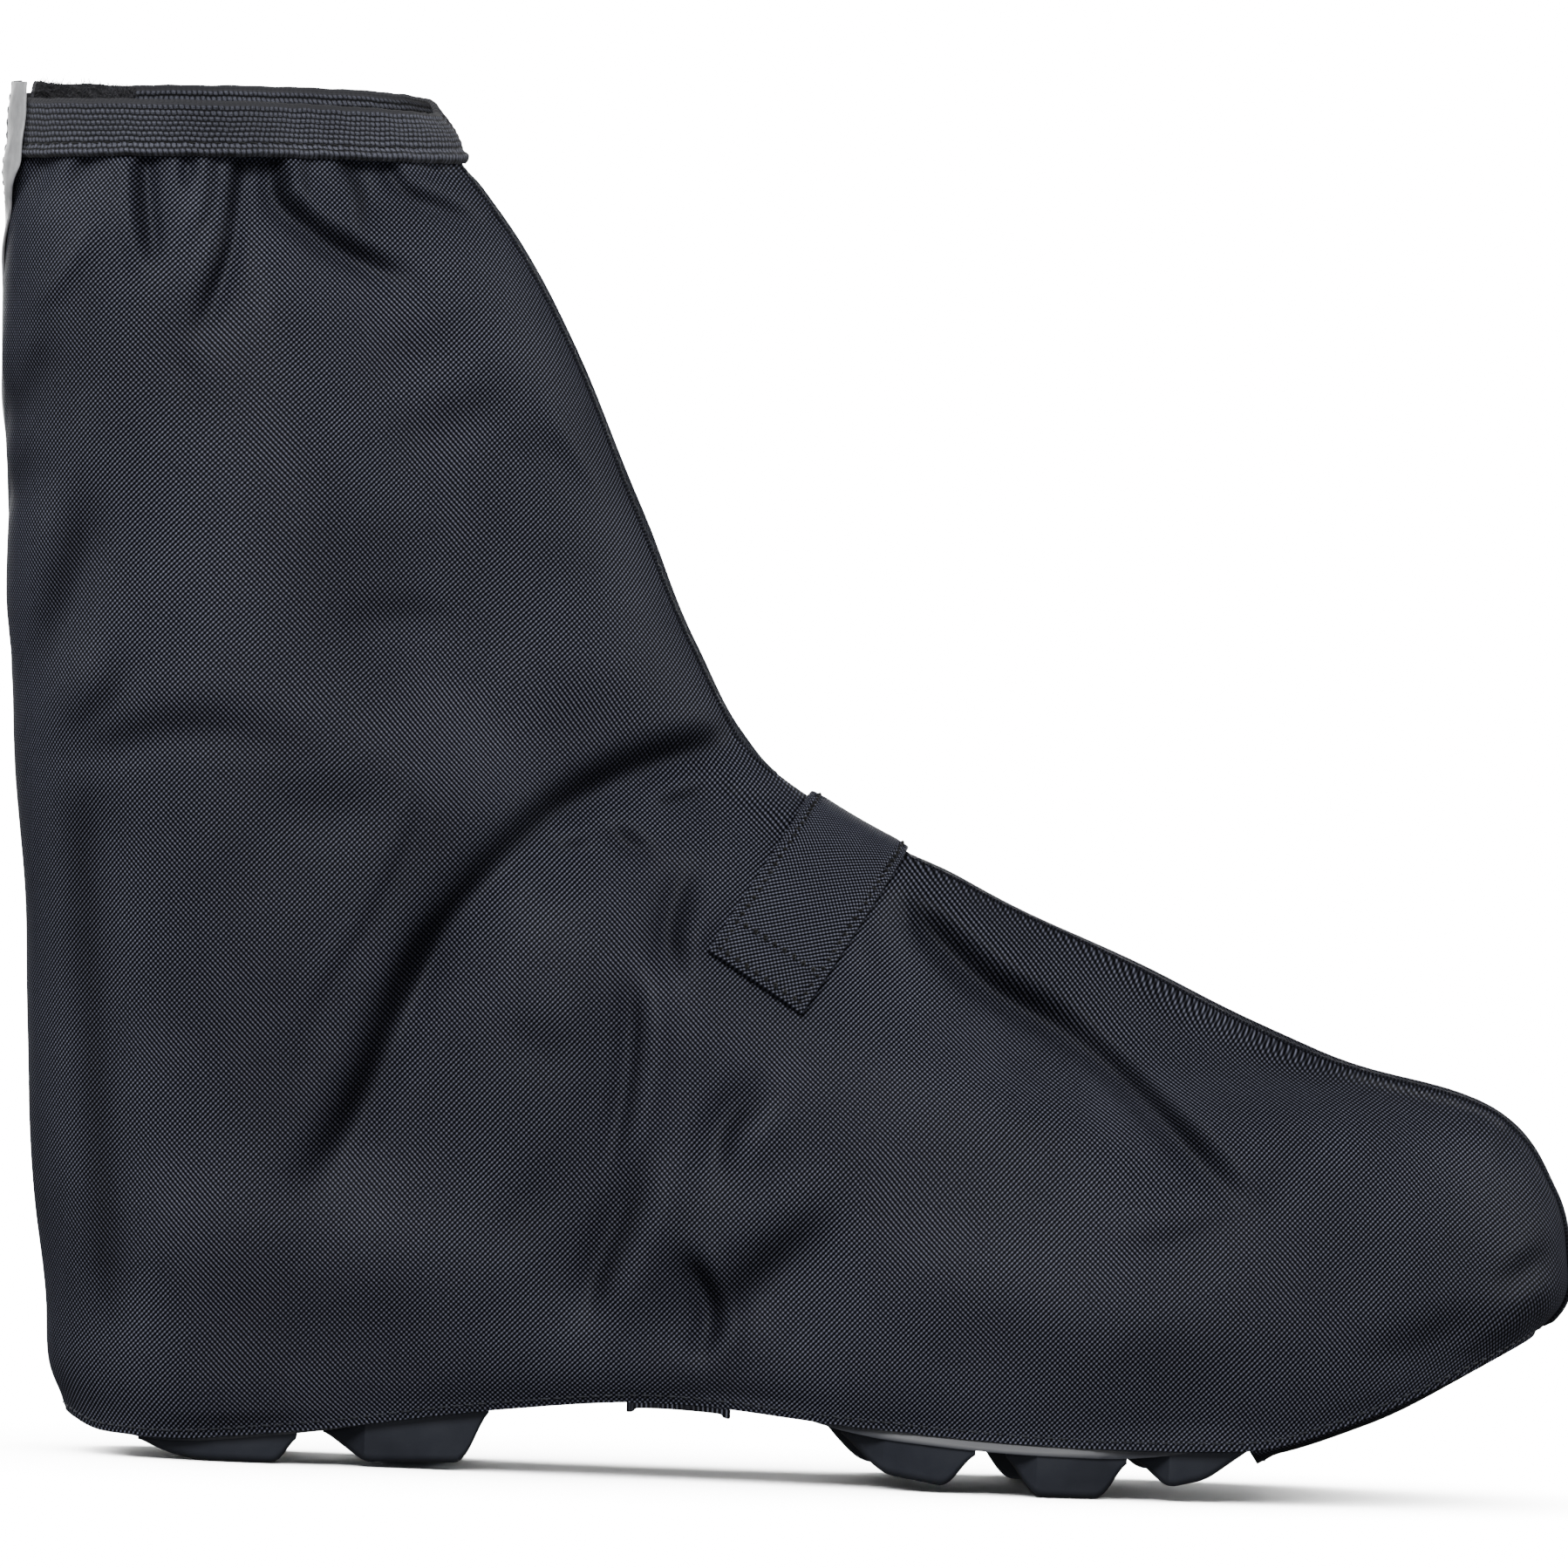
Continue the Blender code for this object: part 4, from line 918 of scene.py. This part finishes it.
def add_elastic_band(material):
    """The ribbed band as one closed ring: outer face, rounded rim, inner face and rolled selvage."""
    low, high = LEVEL["band_low"] - 0.02, LEVEL["rim"]
    share = np.linspace(0, 1, BAND_RIBS * RIB_ROWS + 1)
    ribs = RIB_HEIGHT * np.abs(np.sin(math.pi * share * BAND_RIBS))
    rolls = sum(roll.height * bell(share, roll.place, roll.reach) for roll in BAND_ROLLS)
    outer = np.stack([low + (high - low) * share, BAND_OUTER - RIB_SINK + ribs + rolls], axis=-1)
    inner = np.stack([low + (high - low) * share, BAND_INNER + RIB_SINK - ribs], axis=-1)[::-2]
    profile = np.concatenate([outer, [(high, 1.0)], inner, [(low, 1.0)]])
    end_lift = np.zeros(len(profile))
    end_lift[len(outer)], end_lift[-1] = BAND_END, -BAND_END
    turn = np.concatenate([panel_turns(BAND_TURNS, False)[:-1], panel_turns(BAND_TURNS, True)[:-1]])
    level, around = np.meshgrid(profile[:, 0], turn, indexing="ij")
    points = last_point(level, around)
    pucker = 0.3 * wave_height(points) + 0.1 * np.sin(around * 46) * np.sin(around * 17)
    at_front = ease(0.6, 1.0, -np.cos(around))
    pucker = pucker + BAND_FRONT_BULGE * np.sin(math.pi * (level - low) / (high - low)) * at_front
    points = points + last_normal(level, around) * (profile[:, 1][:, None] + pucker)[..., None]
    points[..., 2] += end_lift[:, None] + 0.1 * np.sin(around * 31) * np.sin(around * 12 + 1)
    shift = smooth(column(RIM, "turn"), column(RIM, "shift"), around / math.pi)
    points[..., 2] += ease(low, high, level) * shift
    length = run_lengths(last_point(np.full(turn.shape, low), turn)[None, :], 1)
    height = (profile[:, 0] - low) * BAND_RIBS * RIB_PITCH
    uv = np.stack(np.broadcast_arrays(length, height[:, None]), axis=-1)
    faces = grid_faces(*level.shape, closed=True)
    last = (level.shape[0] - 1) * level.shape[1]
    turns = np.arange(level.shape[1])
    right = (turns + 1) % level.shape[1]
    faces += np.stack([last + turns, last + right, right, turns], axis=-1).tolist()
    points, uv = points.reshape(-1, 3), uv.reshape(-1, 2)
    band = add_piece("elastic_band", points, faces, uv, material, ["collar_band"])
    tidy_mesh(band)


def strap_lift(along, across):
    """Height of the strap's face: rounded edges, a doubled end tab and the grooves of its stitching."""
    edge = np.abs(across) / (STRAP_WIDTH / 2)
    lift = STRAP_LIFT + STRAP_THICKNESS - 0.5 * edge**10
    pull = 0.35 + STRAP_PUCKER * np.cos(2 * math.pi * along / (STRAP_STITCH.length + STRAP_STITCH.gap))
    lift = lift - pull * bell(np.abs(across), STRAP_SEAM, STRAP_GROOVE)
    tab = STRAP_TAB_LIFT * (1 - ease(STRAP_TAB - 1.2, STRAP_TAB + 0.4, along))
    rows = sum(bell(along, place, STRAP_GROOVE) for place in STRAP_ROW_PLACES)
    pull = 0.4 + STRAP_PUCKER * np.cos(2 * math.pi * across / (STRAP_STITCH.length + STRAP_STITCH.gap))
    return lift + tab - pull * rows * (np.abs(across) < STRAP_SEAM + 0.5)


def add_instep_strap(material, thread):
    level, turn = strap_grid()
    base = cloth_point(level, turn, STRAP_LIFT)
    along = run_lengths(base, 0)
    across = np.broadcast_to(np.linspace(-STRAP_WIDTH / 2, STRAP_WIDTH / 2, STRAP_COLUMNS), along.shape)
    top = cloth_point(level, turn, strap_lift(along, across))
    points, faces = sheet_shell(top, base)
    uv = np.stack([along, across], axis=-1).reshape(-1, 2)
    strap = add_piece(
        "instep_webbing", points, faces, np.concatenate([uv, uv]), material, ["instep_strap"]
    )
    tidy_mesh(strap)
    round_edges(strap, 0.35)
    normals = last_normal(level, turn)
    lines = []
    for place in (-STRAP_SEAM, STRAP_SEAM):
        col = int(round((place / STRAP_WIDTH + 0.5) * (STRAP_COLUMNS - 1)))
        lines.append((top[:, col], normals[:, col]))
    for place in STRAP_ROW_PLACES:
        row = int(np.argmin(np.abs(along[:, STRAP_COLUMNS // 2] - place)))
        lines.append((top[row, 5:-5], normals[row, 5:-5]))
    add_stitches("stitches_strap", lines[:2], STRAP_STITCH, thread)
    add_stitches("stitches_tab", lines[2:], TAB_STITCH, thread)


def add_front_seams(material, thread):
    """The bound centre seam above and below the strap, with a row of stitches at each edge."""
    for name, span in SEAM_SPANS.items():
        level = np.linspace(*span, SEAM_ROWS)[:, None]
        width = np.linspace(-SEAM_HALF_WIDTH, SEAM_HALF_WIDTH, SEAM_COLUMNS)[None, :]
        level, width = np.broadcast_arrays(level, width)
        lateral = width_turn(level, np.maximum(-width, 0), True, False)
        medial = width_turn(level, np.maximum(width, 0), True, True)
        turn = np.where(width < 0, lateral, np.where(width > 0, medial, math.pi))
        rib = SEAM_RIB * bell(width, 0.0, 0.8) - SEAM_GROOVE * bell(np.abs(width), 2.7, 0.5)
        ends = ease(0.0, SEAM_END, level - span[0]) * ease(0.0, SEAM_END, span[1] - level)
        top = cloth_point(level, turn, SEAM_FACE + (SEAM_THICKNESS + rib) * ends)
        points, faces = sheet_shell(top, cloth_point(level, turn, SEAM_UNDER))
        uv = np.stack([width, run_lengths(top, 0)], axis=-1).reshape(-1, 2)
        label = name.replace("front_seam", "seam_binding")
        seam = add_piece(label, points, faces, np.concatenate([uv, uv]), material, [name])
        tidy_mesh(seam)
        round_edges(seam, 0.2)
        normals = last_normal(level, turn)
        lines = [(top[:, col], normals[:, col]) for col in (2, -3)]
        add_stitches(label + "_stitches", lines, FINE_STITCH, thread)


def add_rear_strips(cloth, film, thread):
    """The closing flap at the back and the reflective tape along its free edge."""
    for name, node, span, material, slot in (
        ("flap_cloth", "rear_flap", FLAP_Y, cloth, "woven_fabric"),
        ("tape_film", "reflective_tape", TAPE_Y, film, "reflective_tape"),
    ):
        level = np.linspace(*FLAP_LEVELS, FLAP_ROWS)[:, None]
        place = np.linspace(*span, FLAP_COLUMNS)[None, :] + 0 * level
        width = place - FLAP_PULL * ease(*PULL_RISE, level)
        level = level + 0 * width
        lateral = width_turn(level, np.maximum(-width, 0), False, False)
        medial = width_turn(level, np.maximum(width, 0), False, True)
        turn = np.where(width < 0, lateral, medial)
        crease = FLAP_CREASE * np.sin(level * 9.0 + place * 0.25) * ease(*FLAP_CREASE_FROM, level)
        base = FLAP_LIFT + FLAP_CLIMB * ease(*FLAP_RISE, level) + crease
        top, under = cloth_point(level, turn, base + FLAP_THICKNESS), cloth_point(level, turn, base)
        for sheet in (top, under):
            sheet[..., 2] += TAPE_RISE * ease(13.2, 14.0, level)
        points, faces = sheet_shell(top, under)
        uv = np.stack([place, run_lengths(top, 0)], axis=-1).reshape(-1, 2)
        strip = add_piece(name, points, faces, np.concatenate([uv, uv]), material, [node])
        tidy_mesh(strip)
        round_edges(strip, 0.25)
        if node == "rear_flap":
            normals = last_normal(level, turn)
            lines = [(top[:, col], normals[:, col]) for col in (1, -2)]
            add_stitches("stitches_flap", lines, FINE_STITCH, thread)


def patch_rise(level, width):
    """How far the loop patch stands above the last's top, tapering to its front end."""
    front_taper = (1 - 0.5 * ease(5.0, 25.0, width)) * (1 - 0.8 * ease(26.0, 33.0, width))
    return PATCH_TOP * front_taper * ease(-2.0, 8.0, width) * ease(13.3, 14.0, level)


def add_loop_patch(material):
    """Loop pile inside the rear of the collar: a backing and a stand of short curled fibres."""
    level = np.linspace(*PATCH_LEVELS, PATCH_ROWS)[:, None]
    width = np.linspace(*PATCH_Y, PATCH_COLUMNS)[None, :]
    level, width = np.broadcast_arrays(level, width)
    turn = width_turn(level, width, False, True)
    back, face = -(WALL + 0.3), -(WALL + 0.3 + 0.6 * PATCH_THICKNESS)
    sheets = []
    for offset in (back, face):
        sheet = last_point(level, turn) + last_normal(level, turn) * offset
        sheet[..., 2] += patch_rise(level, width)
        sheets.append(sheet)
    points, faces = sheet_shell(*sheets)
    chance = np.random.default_rng(TUFT_SEED)
    tuft_level = chance.uniform(*PATCH_LEVELS, TUFTS)
    tuft_width = chance.uniform(*PATCH_Y, TUFTS)
    tuft_turn = width_turn(tuft_level, tuft_width, False, True)
    inward = -last_normal(tuft_level, tuft_turn)
    foot = last_point(tuft_level, tuft_turn) + inward * -face
    foot[:, 2] += patch_rise(tuft_level, tuft_width)
    lean = 0.5 * chance.normal(size=(TUFTS, 3))
    lean[:, 2] += 0.5 * ease(13.8, 14.0, tuft_level)
    side = np.cross(inward, chance.normal(size=(TUFTS, 3)))
    side *= TUFT_HALF_WIDTH / np.linalg.norm(side, axis=1, keepdims=True)
    middle = foot + 0.45 * inward + 0.6 * lean
    tip = foot + 0.55 * inward + 1.3 * lean
    hairs = np.stack([foot - side, foot + side, middle + side, middle - side, tip], axis=1).reshape(-1, 3)
    first = len(points) + 5 * np.arange(TUFTS)
    faces += np.stack([first, first + 1, first + 2, first + 3], axis=1).tolist()
    faces += np.stack([first + 3, first + 2, first + 4], axis=1).tolist()
    points = np.concatenate([points, hairs])
    add_piece("loop_pile", points, faces, None, material, ["loop_patch"])


def sole_underside(x):
    return hem_height(x) - smooth(column(SOLE_EDGE, "x"), column(SOLE_EDGE, "drop"), x)


def hem_ring(turn, offset):
    """The hem's ring moved out by an offset."""
    zero = np.zeros(turn.shape)
    return last_point(zero, turn) + last_normal(zero, turn) * np.broadcast_to(offset, turn.shape)[..., None]


def sole_rand(turn, hem_x):
    flare = smooth(column(SOLE_EDGE, "x"), column(SOLE_EDGE, "flare"), hem_x)
    return hem_ring(turn, flare - WALL - 0.3)


def lug_profile(lug):
    """Stations of a lug from rear to front, as rows of x, height of its foot and chamfer in plan."""
    start, end = (float(sole_underside(x)) - LUG_SKIN for x in (lug.rear_top, lug.front_top))
    share = np.linspace(0, 1, RAMP_STEPS + 1)
    ramp = lug.rear_top + (lug.rear_low - lug.rear_top) * share
    places = np.concatenate([ramp, [lug.front_low, lug.front_top]])
    ramp_feet = lug.rear_z + (start - lug.rear_z) * (1 - share) ** lug.curve
    feet = np.concatenate([ramp_feet, [lug.front_z, end]])
    x = np.linspace(lug.rear_top, lug.front_top, LUG_STATIONS)
    near = np.linspace(-LUG_ROUND, LUG_ROUND, 9)[:, None]
    foot = np.interp(x + near, places, feet).mean(axis=0)
    cut = np.interp(x, (lug.rear_top, lug.rear_low), (1.0, 0.0))
    return np.stack([x, foot, cut], axis=-1)


def lug_solid(lug, medial):
    """Points and faces of one lug, whose outer face follows the edge of the sole."""
    inward = -1.0 if medial else 1.0
    bend = np.linspace(0, math.pi / 2, LUG_ARC)
    points = []
    for x, foot, cut in lug_profile(lug):
        edge = sole_rand(np.array([hem_turn(x, medial)]), np.array([x]))[0]
        root = float(sole_underside(x)) + LUG_ROOT
        radius = min(LUG_ROUND, 0.45 * (root - foot))
        z = foot + radius * (1 - np.sin(bend))
        lean = LUG_DRAFT * (root - z) + radius * (1 - np.cos(bend))
        outer = edge[1] + inward * (LUG_INSET + lug.chamfer * cut)
        inner = edge[1] + inward * (LUG_INSET + lug.width)
        points.append((x, outer, root))
        points += [(x, outer + inward * a, b) for a, b in zip(lean, z)]
        points += [(x, inner - inward * a, b) for a, b in zip(lean[::-1], z[::-1])]
        points.append((x, inner, root))
    around = 2 * LUG_ARC + 2
    end = tuple(range(len(points) - around, len(points)))
    faces = grid_faces(LUG_STATIONS, around, closed=True)
    return points, faces + [tuple(reversed(range(around))), end]


def add_sole(material):
    """The rubber plate inside the hem, and its rand with a light grey shoulder at the ball."""
    turn = np.linspace(0, 2 * math.pi, SOLE_TURNS, endpoint=False)
    hem_x = last_point(np.zeros(SOLE_TURNS), turn)[..., 0]
    low = sole_underside(hem_x)
    rand, inside = sole_rand(turn, hem_x), hem_ring(turn, -WALL - 0.3)
    rings = []
    for outline, height in (
        (rand, low),
        (rand, low + RAND_HEIGHT),
        (inside, low + RAND_HEIGHT + RAND_SHOULDER),
        (inside, low + SOLE_THICKNESS),
    ):
        ring = outline.copy()
        ring[..., 2] = height
        rings.append(ring)
    points = list(np.concatenate(rings))
    faces = grid_faces(len(rings), SOLE_TURNS, closed=True)
    for ring, first in ((rings[0], 0), (rings[-1], SOLE_TURNS * (len(rings) - 1))):
        faces += ladder(points, ring, first)
    sole = add_piece("rubber_sole", np.array(points), faces, None, material, ["outsole"], 35)
    ledge_share = np.zeros(len(points))
    # a light grey band along the rand's shoulder at the ball
    shoulder = ease(*LEDGE_STARTS, hem_x) * (1 - ease(*LEDGE_ENDS, hem_x))
    ledge_share[SOLE_TURNS : 3 * SOLE_TURNS] = np.tile(shoulder, 2)
    ledge_grey = sole.data.attributes.new("ledge_grey", "FLOAT", "POINT")
    ledge_grey.data.foreach_set("value", ledge_share)
    tidy_mesh(sole)


def add_lugs(material):
    """The lugs under heel and ball, with rounded edges, on both sides of the sole."""
    points, faces = [], []
    for lug in LUGS:
        for medial in (False, True):
            shift = MEDIAL_SHIFT[lug.name] if medial else 0.0
            ends = ("rear_top", "rear_low", "front_low", "front_top")
            moved = lug._replace(**{end: getattr(lug, end) + shift for end in ends})
            more_points, more_faces = lug_solid(moved, medial)
            faces += [tuple(len(points) + corner for corner in face) for face in more_faces]
            points += more_points
    points = np.array(points)
    lugs = add_piece("rubber_lugs", points, faces, None, material, smooth_angle=35)
    tidy_mesh(lugs)


def ladder(points, ring, first):
    """Faces across a ring from its lateral to its medial side, with new points between them."""
    half = len(ring) // 2
    steps = [[first]]
    for rung in range(1, half):
        other = len(ring) - rung
        row = [first + rung]
        for col in range(1, SOLE_COLUMNS):
            points.append(ring[rung] + (ring[other] - ring[rung]) * col / SOLE_COLUMNS)
            row.append(len(points) - 1)
        steps.append(row + [first + other])
    steps.append([first + half])
    faces = []
    for near, far in zip(steps, steps[1:]):
        for col in range(SOLE_COLUMNS):
            quad = [near[min(col, len(near) - 1)], near[min(col + 1, len(near) - 1)]]
            quad += [far[min(col + 1, len(far) - 1)], far[min(col, len(far) - 1)]]
            faces.append(tuple(dict.fromkeys(quad)))
    return faces


def across_hem(turns, columns, inset):
    """Rows of points straight across the hem's ring, at columns from -1 (lateral) to 1 (medial)."""
    rows = []
    for turn in turns:
        ends = hem_ring(np.array([turn, 2 * math.pi - turn]), -inset)
        rows.append(ends[0] + (ends[1] - ends[0]) * (columns[:, None] + 1) / 2)
    return np.array(rows)


def add_toe_guard(material, thread):
    """The panel under the toe, sewn along the hem, with rounded sides and a bound rear edge."""
    first = float(hem_turn(TOE_PANEL_FROM, False))
    turns = first + (math.pi - first) * np.linspace(0, TOE_PANEL_TO, TOE_ROWS)
    columns = np.sin(np.linspace(-math.pi / 2, math.pi / 2, TOE_COLUMNS))
    top = across_hem(turns, columns, HEM_INSET)
    top[..., 2] = hem_height(top[..., 0]) - HEM_GAP
    binding = bell(top[..., 0], TOE_PANEL_FROM + TOE_BINDING_MIDDLE, TOE_BINDING_REACH)
    thickness = TOE_PANEL_THICKNESS + (TOE_PANEL_EDGE - TOE_PANEL_THICKNESS) * binding
    thickness = thickness * (1 - TOE_TAPER_DEPTH * ease(*TOE_TAPER, top[..., 0]))
    thickness = thickness * (0.3 + 0.7 * ease(0.0, 1.4, top[..., 0] - TOE_PANEL_FROM) ** 0.5)
    bottom = top.copy()
    bottom[..., 2] -= thickness * (0.1 + 0.9 * (1 - np.abs(columns) ** 8) ** 0.5)
    points, faces = sheet_shell(top, bottom)
    uvs = [np.stack([sheet[..., 0], run_lengths(sheet, 1)], axis=-1) for sheet in (top, bottom)]
    uv = np.concatenate(uvs).reshape(-1, 2)
    guard = add_piece("toe_guard", points, faces, uv, material, ["toe_panel"])
    tidy_mesh(guard)
    line = bottom[2, 10:-10]
    down = np.broadcast_to([0.0, 0.0, -1.0], line.shape)
    add_stitches("stitches_toe", [(line, down)], FINE_STITCH, thread)


def add_arch_webbing(material):
    """The band under the arch, from hem to hem, with bound edges."""
    x = np.linspace(*ARCH_STRAP_X, ARCH_ROWS)
    top = across_hem(hem_turn(x, False), np.linspace(-1, 1, ARCH_COLUMNS), HEM_INSET)
    top[..., 2] = hem_height(top[..., 0]) - HEM_GAP
    from_edge = np.minimum(x - ARCH_STRAP_X[0], ARCH_STRAP_X[1] - x)
    binding = 1 - ease(*ARCH_BINDING, from_edge)
    depth = ARCH_STRAP_THICKNESS + (ARCH_STRAP_EDGE - ARCH_STRAP_THICKNESS) * binding
    bottom = top - np.stack([0 * depth, 0 * depth, depth], axis=-1)[:, None, :]
    points, faces = sheet_shell(top, bottom)
    uv = np.concatenate([top, top])[..., :2].reshape(-1, 2)
    strap = add_piece("arch_webbing", points, faces, uv, material, ["underfoot_strap"])
    tidy_mesh(strap)
    round_edges(strap, 0.35)


def add_stitches(name, lines, stitch, thread):
    """Rows of short threads that rise out of the cloth and dip back into it, along lines with normals."""
    share = np.linspace(0, 1, STITCH_RINGS)
    swell = np.sin(math.pi * share)
    angle = np.linspace(0, 2 * math.pi, STITCH_SIDES, endpoint=False)
    cell = np.array(grid_faces(STITCH_RINGS, STITCH_SIDES, closed=True))
    points, faces = [], []
    for line, normals in lines:
        length = run_lengths(np.asarray(line)[None], 1)[0]
        starts = np.arange(stitch.gap, length[-1] - stitch.length, stitch.length + stitch.gap)

        def along(values, at):
            return np.stack([np.interp(at, length, values[:, axis]) for axis in range(3)], axis=-1)

        first, last = along(line, starts), along(line, starts + stitch.length)
        up = along(normals, starts + stitch.length / 2)
        ahead = last - first
        ahead /= np.linalg.norm(ahead, axis=1, keepdims=True)
        across = np.cross(ahead, up)
        across /= np.linalg.norm(across, axis=1, keepdims=True)
        up = np.cross(across, ahead)
        spine = first[:, None] + (last - first)[:, None] * share[:, None]
        spine = spine + across[:, None] * (stitch.radius * (0.8 * share - 0.4))[:, None]
        spine = spine + up[:, None] * (stitch.radius * (1.6 * swell**0.6 - 1.1))[:, None]
        around = np.cos(angle)[:, None] * across[:, None] + np.sin(angle)[:, None] * up[:, None]
        thickness = stitch.radius * (0.55 + 0.45 * swell**0.5)
        tube = spine[:, :, None] + around[:, None] * thickness[:, None, None]
        start = sum(len(part) for part in points) + STITCH_RINGS * STITCH_SIDES * np.arange(len(starts))
        faces += (start[:, None, None] + cell).reshape(-1, 4).tolist()
        points.append(tube.reshape(-1, 3))
    add_piece(name, np.concatenate(points), faces, None, thread)


def add_hem_stitches(thread):
    """The row that holds the turned-in hem, a little above its edge."""
    turn = np.linspace(ROW_START, 2 * math.pi - ROW_START, HEM_ROW_STEPS)
    step = last_point(np.full(turn.shape, HEM_ROW_STEP), turn) - last_point(np.zeros(turn.shape), turn)
    level = HEM_ROW_STEP * HEM_ROW_HEIGHT / np.maximum(np.linalg.norm(step, axis=-1), 0.5)
    line = cloth_point(level, turn, 0.05)
    add_stitches("stitches_hem", [(line, last_normal(level, turn))], FINE_STITCH, thread)


def add_collar_stitches(thread):
    """The row that joins cloth and elastic, low on the band."""
    turn = np.linspace(ROW_START, 2 * math.pi - ROW_START, COLLAR_ROW_STEPS)
    level = np.full(turn.shape, LEVEL["band_low"] + COLLAR_ROW_LEVEL)
    normals = last_normal(level, turn)
    line = last_point(level, turn) + normals * (BAND_OUTER - 0.15)
    add_stitches("stitches_collar", [(line, normals)], FINE_STITCH, thread)


def aim(place, target):
    """World matrix of a lamp or camera at a place that looks at a target, both in metres."""
    away = Vector(place) - Vector(target)
    return Matrix.Translation(place) @ away.to_track_quat("Z", "Y").to_matrix().to_4x4()


def add_camera():
    lens = bpy.data.cameras.new("camera")
    lens.sensor_width = 36.0
    lens.lens = lens.sensor_width * CAMERA_DISTANCE / FRAME_WIDTH
    lens.clip_end = 100.0
    camera = bpy.data.objects.new("camera", lens)
    bpy.context.scene.collection.objects.link(camera)
    tilt = Matrix.Rotation(math.pi / 2 - CAMERA_ELEVATION, 4, "X")
    turned = tilt @ Matrix.Rotation(CAMERA_ROLL, 4, "Z")
    target = Matrix.Translation(to_frame(CAMERA_TARGET).tolist())
    camera.matrix_world = target @ turned @ Matrix.Translation((0, 0, CAMERA_DISTANCE * MM))
    bpy.context.scene.camera = camera


def add_lamp(lamp):
    light = bpy.data.lights.new(lamp.name, "AREA")
    light.energy = lamp.power
    light.shape = "RECTANGLE"
    light.size, light.size_y = lamp.size
    made = bpy.data.objects.new(lamp.name, light)
    made.matrix_world = aim(lamp.place, LAMP_TARGET)
    bpy.context.scene.collection.objects.link(made)


def add_stage(name, shape, nodes):
    """A piece of the studio from a finished shape and its material."""
    mesh = bpy.data.meshes.new(name)
    shape.to_mesh(mesh)
    shape.free()
    mesh.materials.append(nodes.material)
    made = bpy.data.objects.new(name, mesh)
    bpy.context.scene.collection.objects.link(made)
    return made


def add_studio():
    """A white floor and surround, and large soft lamps."""
    world = bpy.data.worlds.new("studio")
    world.use_nodes = True
    background = world.node_tree.nodes["Background"]
    background.inputs["Color"].default_value = WHITE
    background.inputs["Strength"].default_value = WORLD_LIGHT
    bpy.context.scene.world = world
    for lamp in LAMPS:
        add_lamp(lamp)
    shape = bmesh.new()
    bmesh.ops.create_circle(shape, cap_ends=True, segments=96, radius=FLOOR_RADIUS)
    nodes = Nodes("floor")
    nodes.set(Base_Color=FLOOR_GREY, Roughness=0.9, Metallic=0.0)
    floor = add_stage("floor", shape, nodes)
    floor.location.z = FLOOR_HEIGHT
    shape = bmesh.new()
    bmesh.ops.create_uvsphere(shape, u_segments=64, v_segments=32, radius=SURROUND_RADIUS)
    nodes = Nodes("surround")
    nodes.set(Base_Color=(0.0, 0.0, 0.0, 1.0), Emission_Color=WHITE, Emission_Strength=SURROUND_GLOW)
    surround = add_stage("surround", shape, nodes)
    surround.visible_diffuse = False
    surround.visible_glossy = False
    surround.visible_transmission = False
    surround.visible_shadow = False
    sun = bpy.data.lights.new("floor_light", "SUN")
    sun.energy = FLOOR_LIGHT
    sun.angle = FLOOR_LIGHT_ANGLE
    sun_object = bpy.data.objects.new("floor_light", sun)
    bpy.context.scene.collection.objects.link(sun_object)
    only_floor = bpy.data.collections.new("lit_by_floor_light")
    only_floor.objects.link(floor)
    sun_object.light_linking.receiver_collection = only_floor
    floor.visible_diffuse = False
    floor.visible_glossy = False


def main():
    # in each woven pair the dark colour is painted shade in the holes and the light one painted highlights on
    # the crowns
    cloth = woven("woven_cloth", (0.0008, 0.0008, 0.0016), (0.3, 0.316, 0.42))
    webbing = woven("woven_strap", (0.001, 0.001, 0.002), (0.31, 0.326, 0.43), warp=0.565, weft=0.52)
    binding = woven("woven_binding", (0.0015, 0.0015, 0.0026), (0.2, 0.21, 0.27), warp=0.5, weft=0.4)
    toe_cloth = woven("toe_cloth", (0.004, 0.004, 0.006), (0.09, 0.094, 0.12), warp=0.4, weft=0.4)
    elastic = ribbed_elastic("ribbed_elastic", (0.004, 0.0041, 0.0055), (0.21, 0.217, 0.275))
    rubber = moulded_rubber("moulded_rubber", (0.036, 0.04, 0.054), (0.062, 0.068, 0.088))
    film = reflective("reflective_film")
    dark_thread = fibre("strap_thread", (0.0006, 0.0006, 0.001))
    grey_thread = fibre("hem_thread", (0.031, 0.034, 0.043))
    pile = fibre("loop_fibre", (0.02, 0.02, 0.023), 0.9, 5.0)
    add_cloth_upper(cloth, coated("coated_inside"))
    add_elastic_band(elastic)
    add_instep_strap(webbing, dark_thread)
    add_front_seams(binding, grey_thread)
    add_rear_strips(cloth, film, grey_thread)
    add_loop_patch(pile)
    add_sole(rubber)
    add_lugs(rubber)
    add_toe_guard(toe_cloth, grey_thread)
    add_arch_webbing(binding)
    add_hem_stitches(grey_thread)
    add_collar_stitches(dark_thread)
    add_camera()
    add_studio()


main()
bpy.context.view_layer.update()
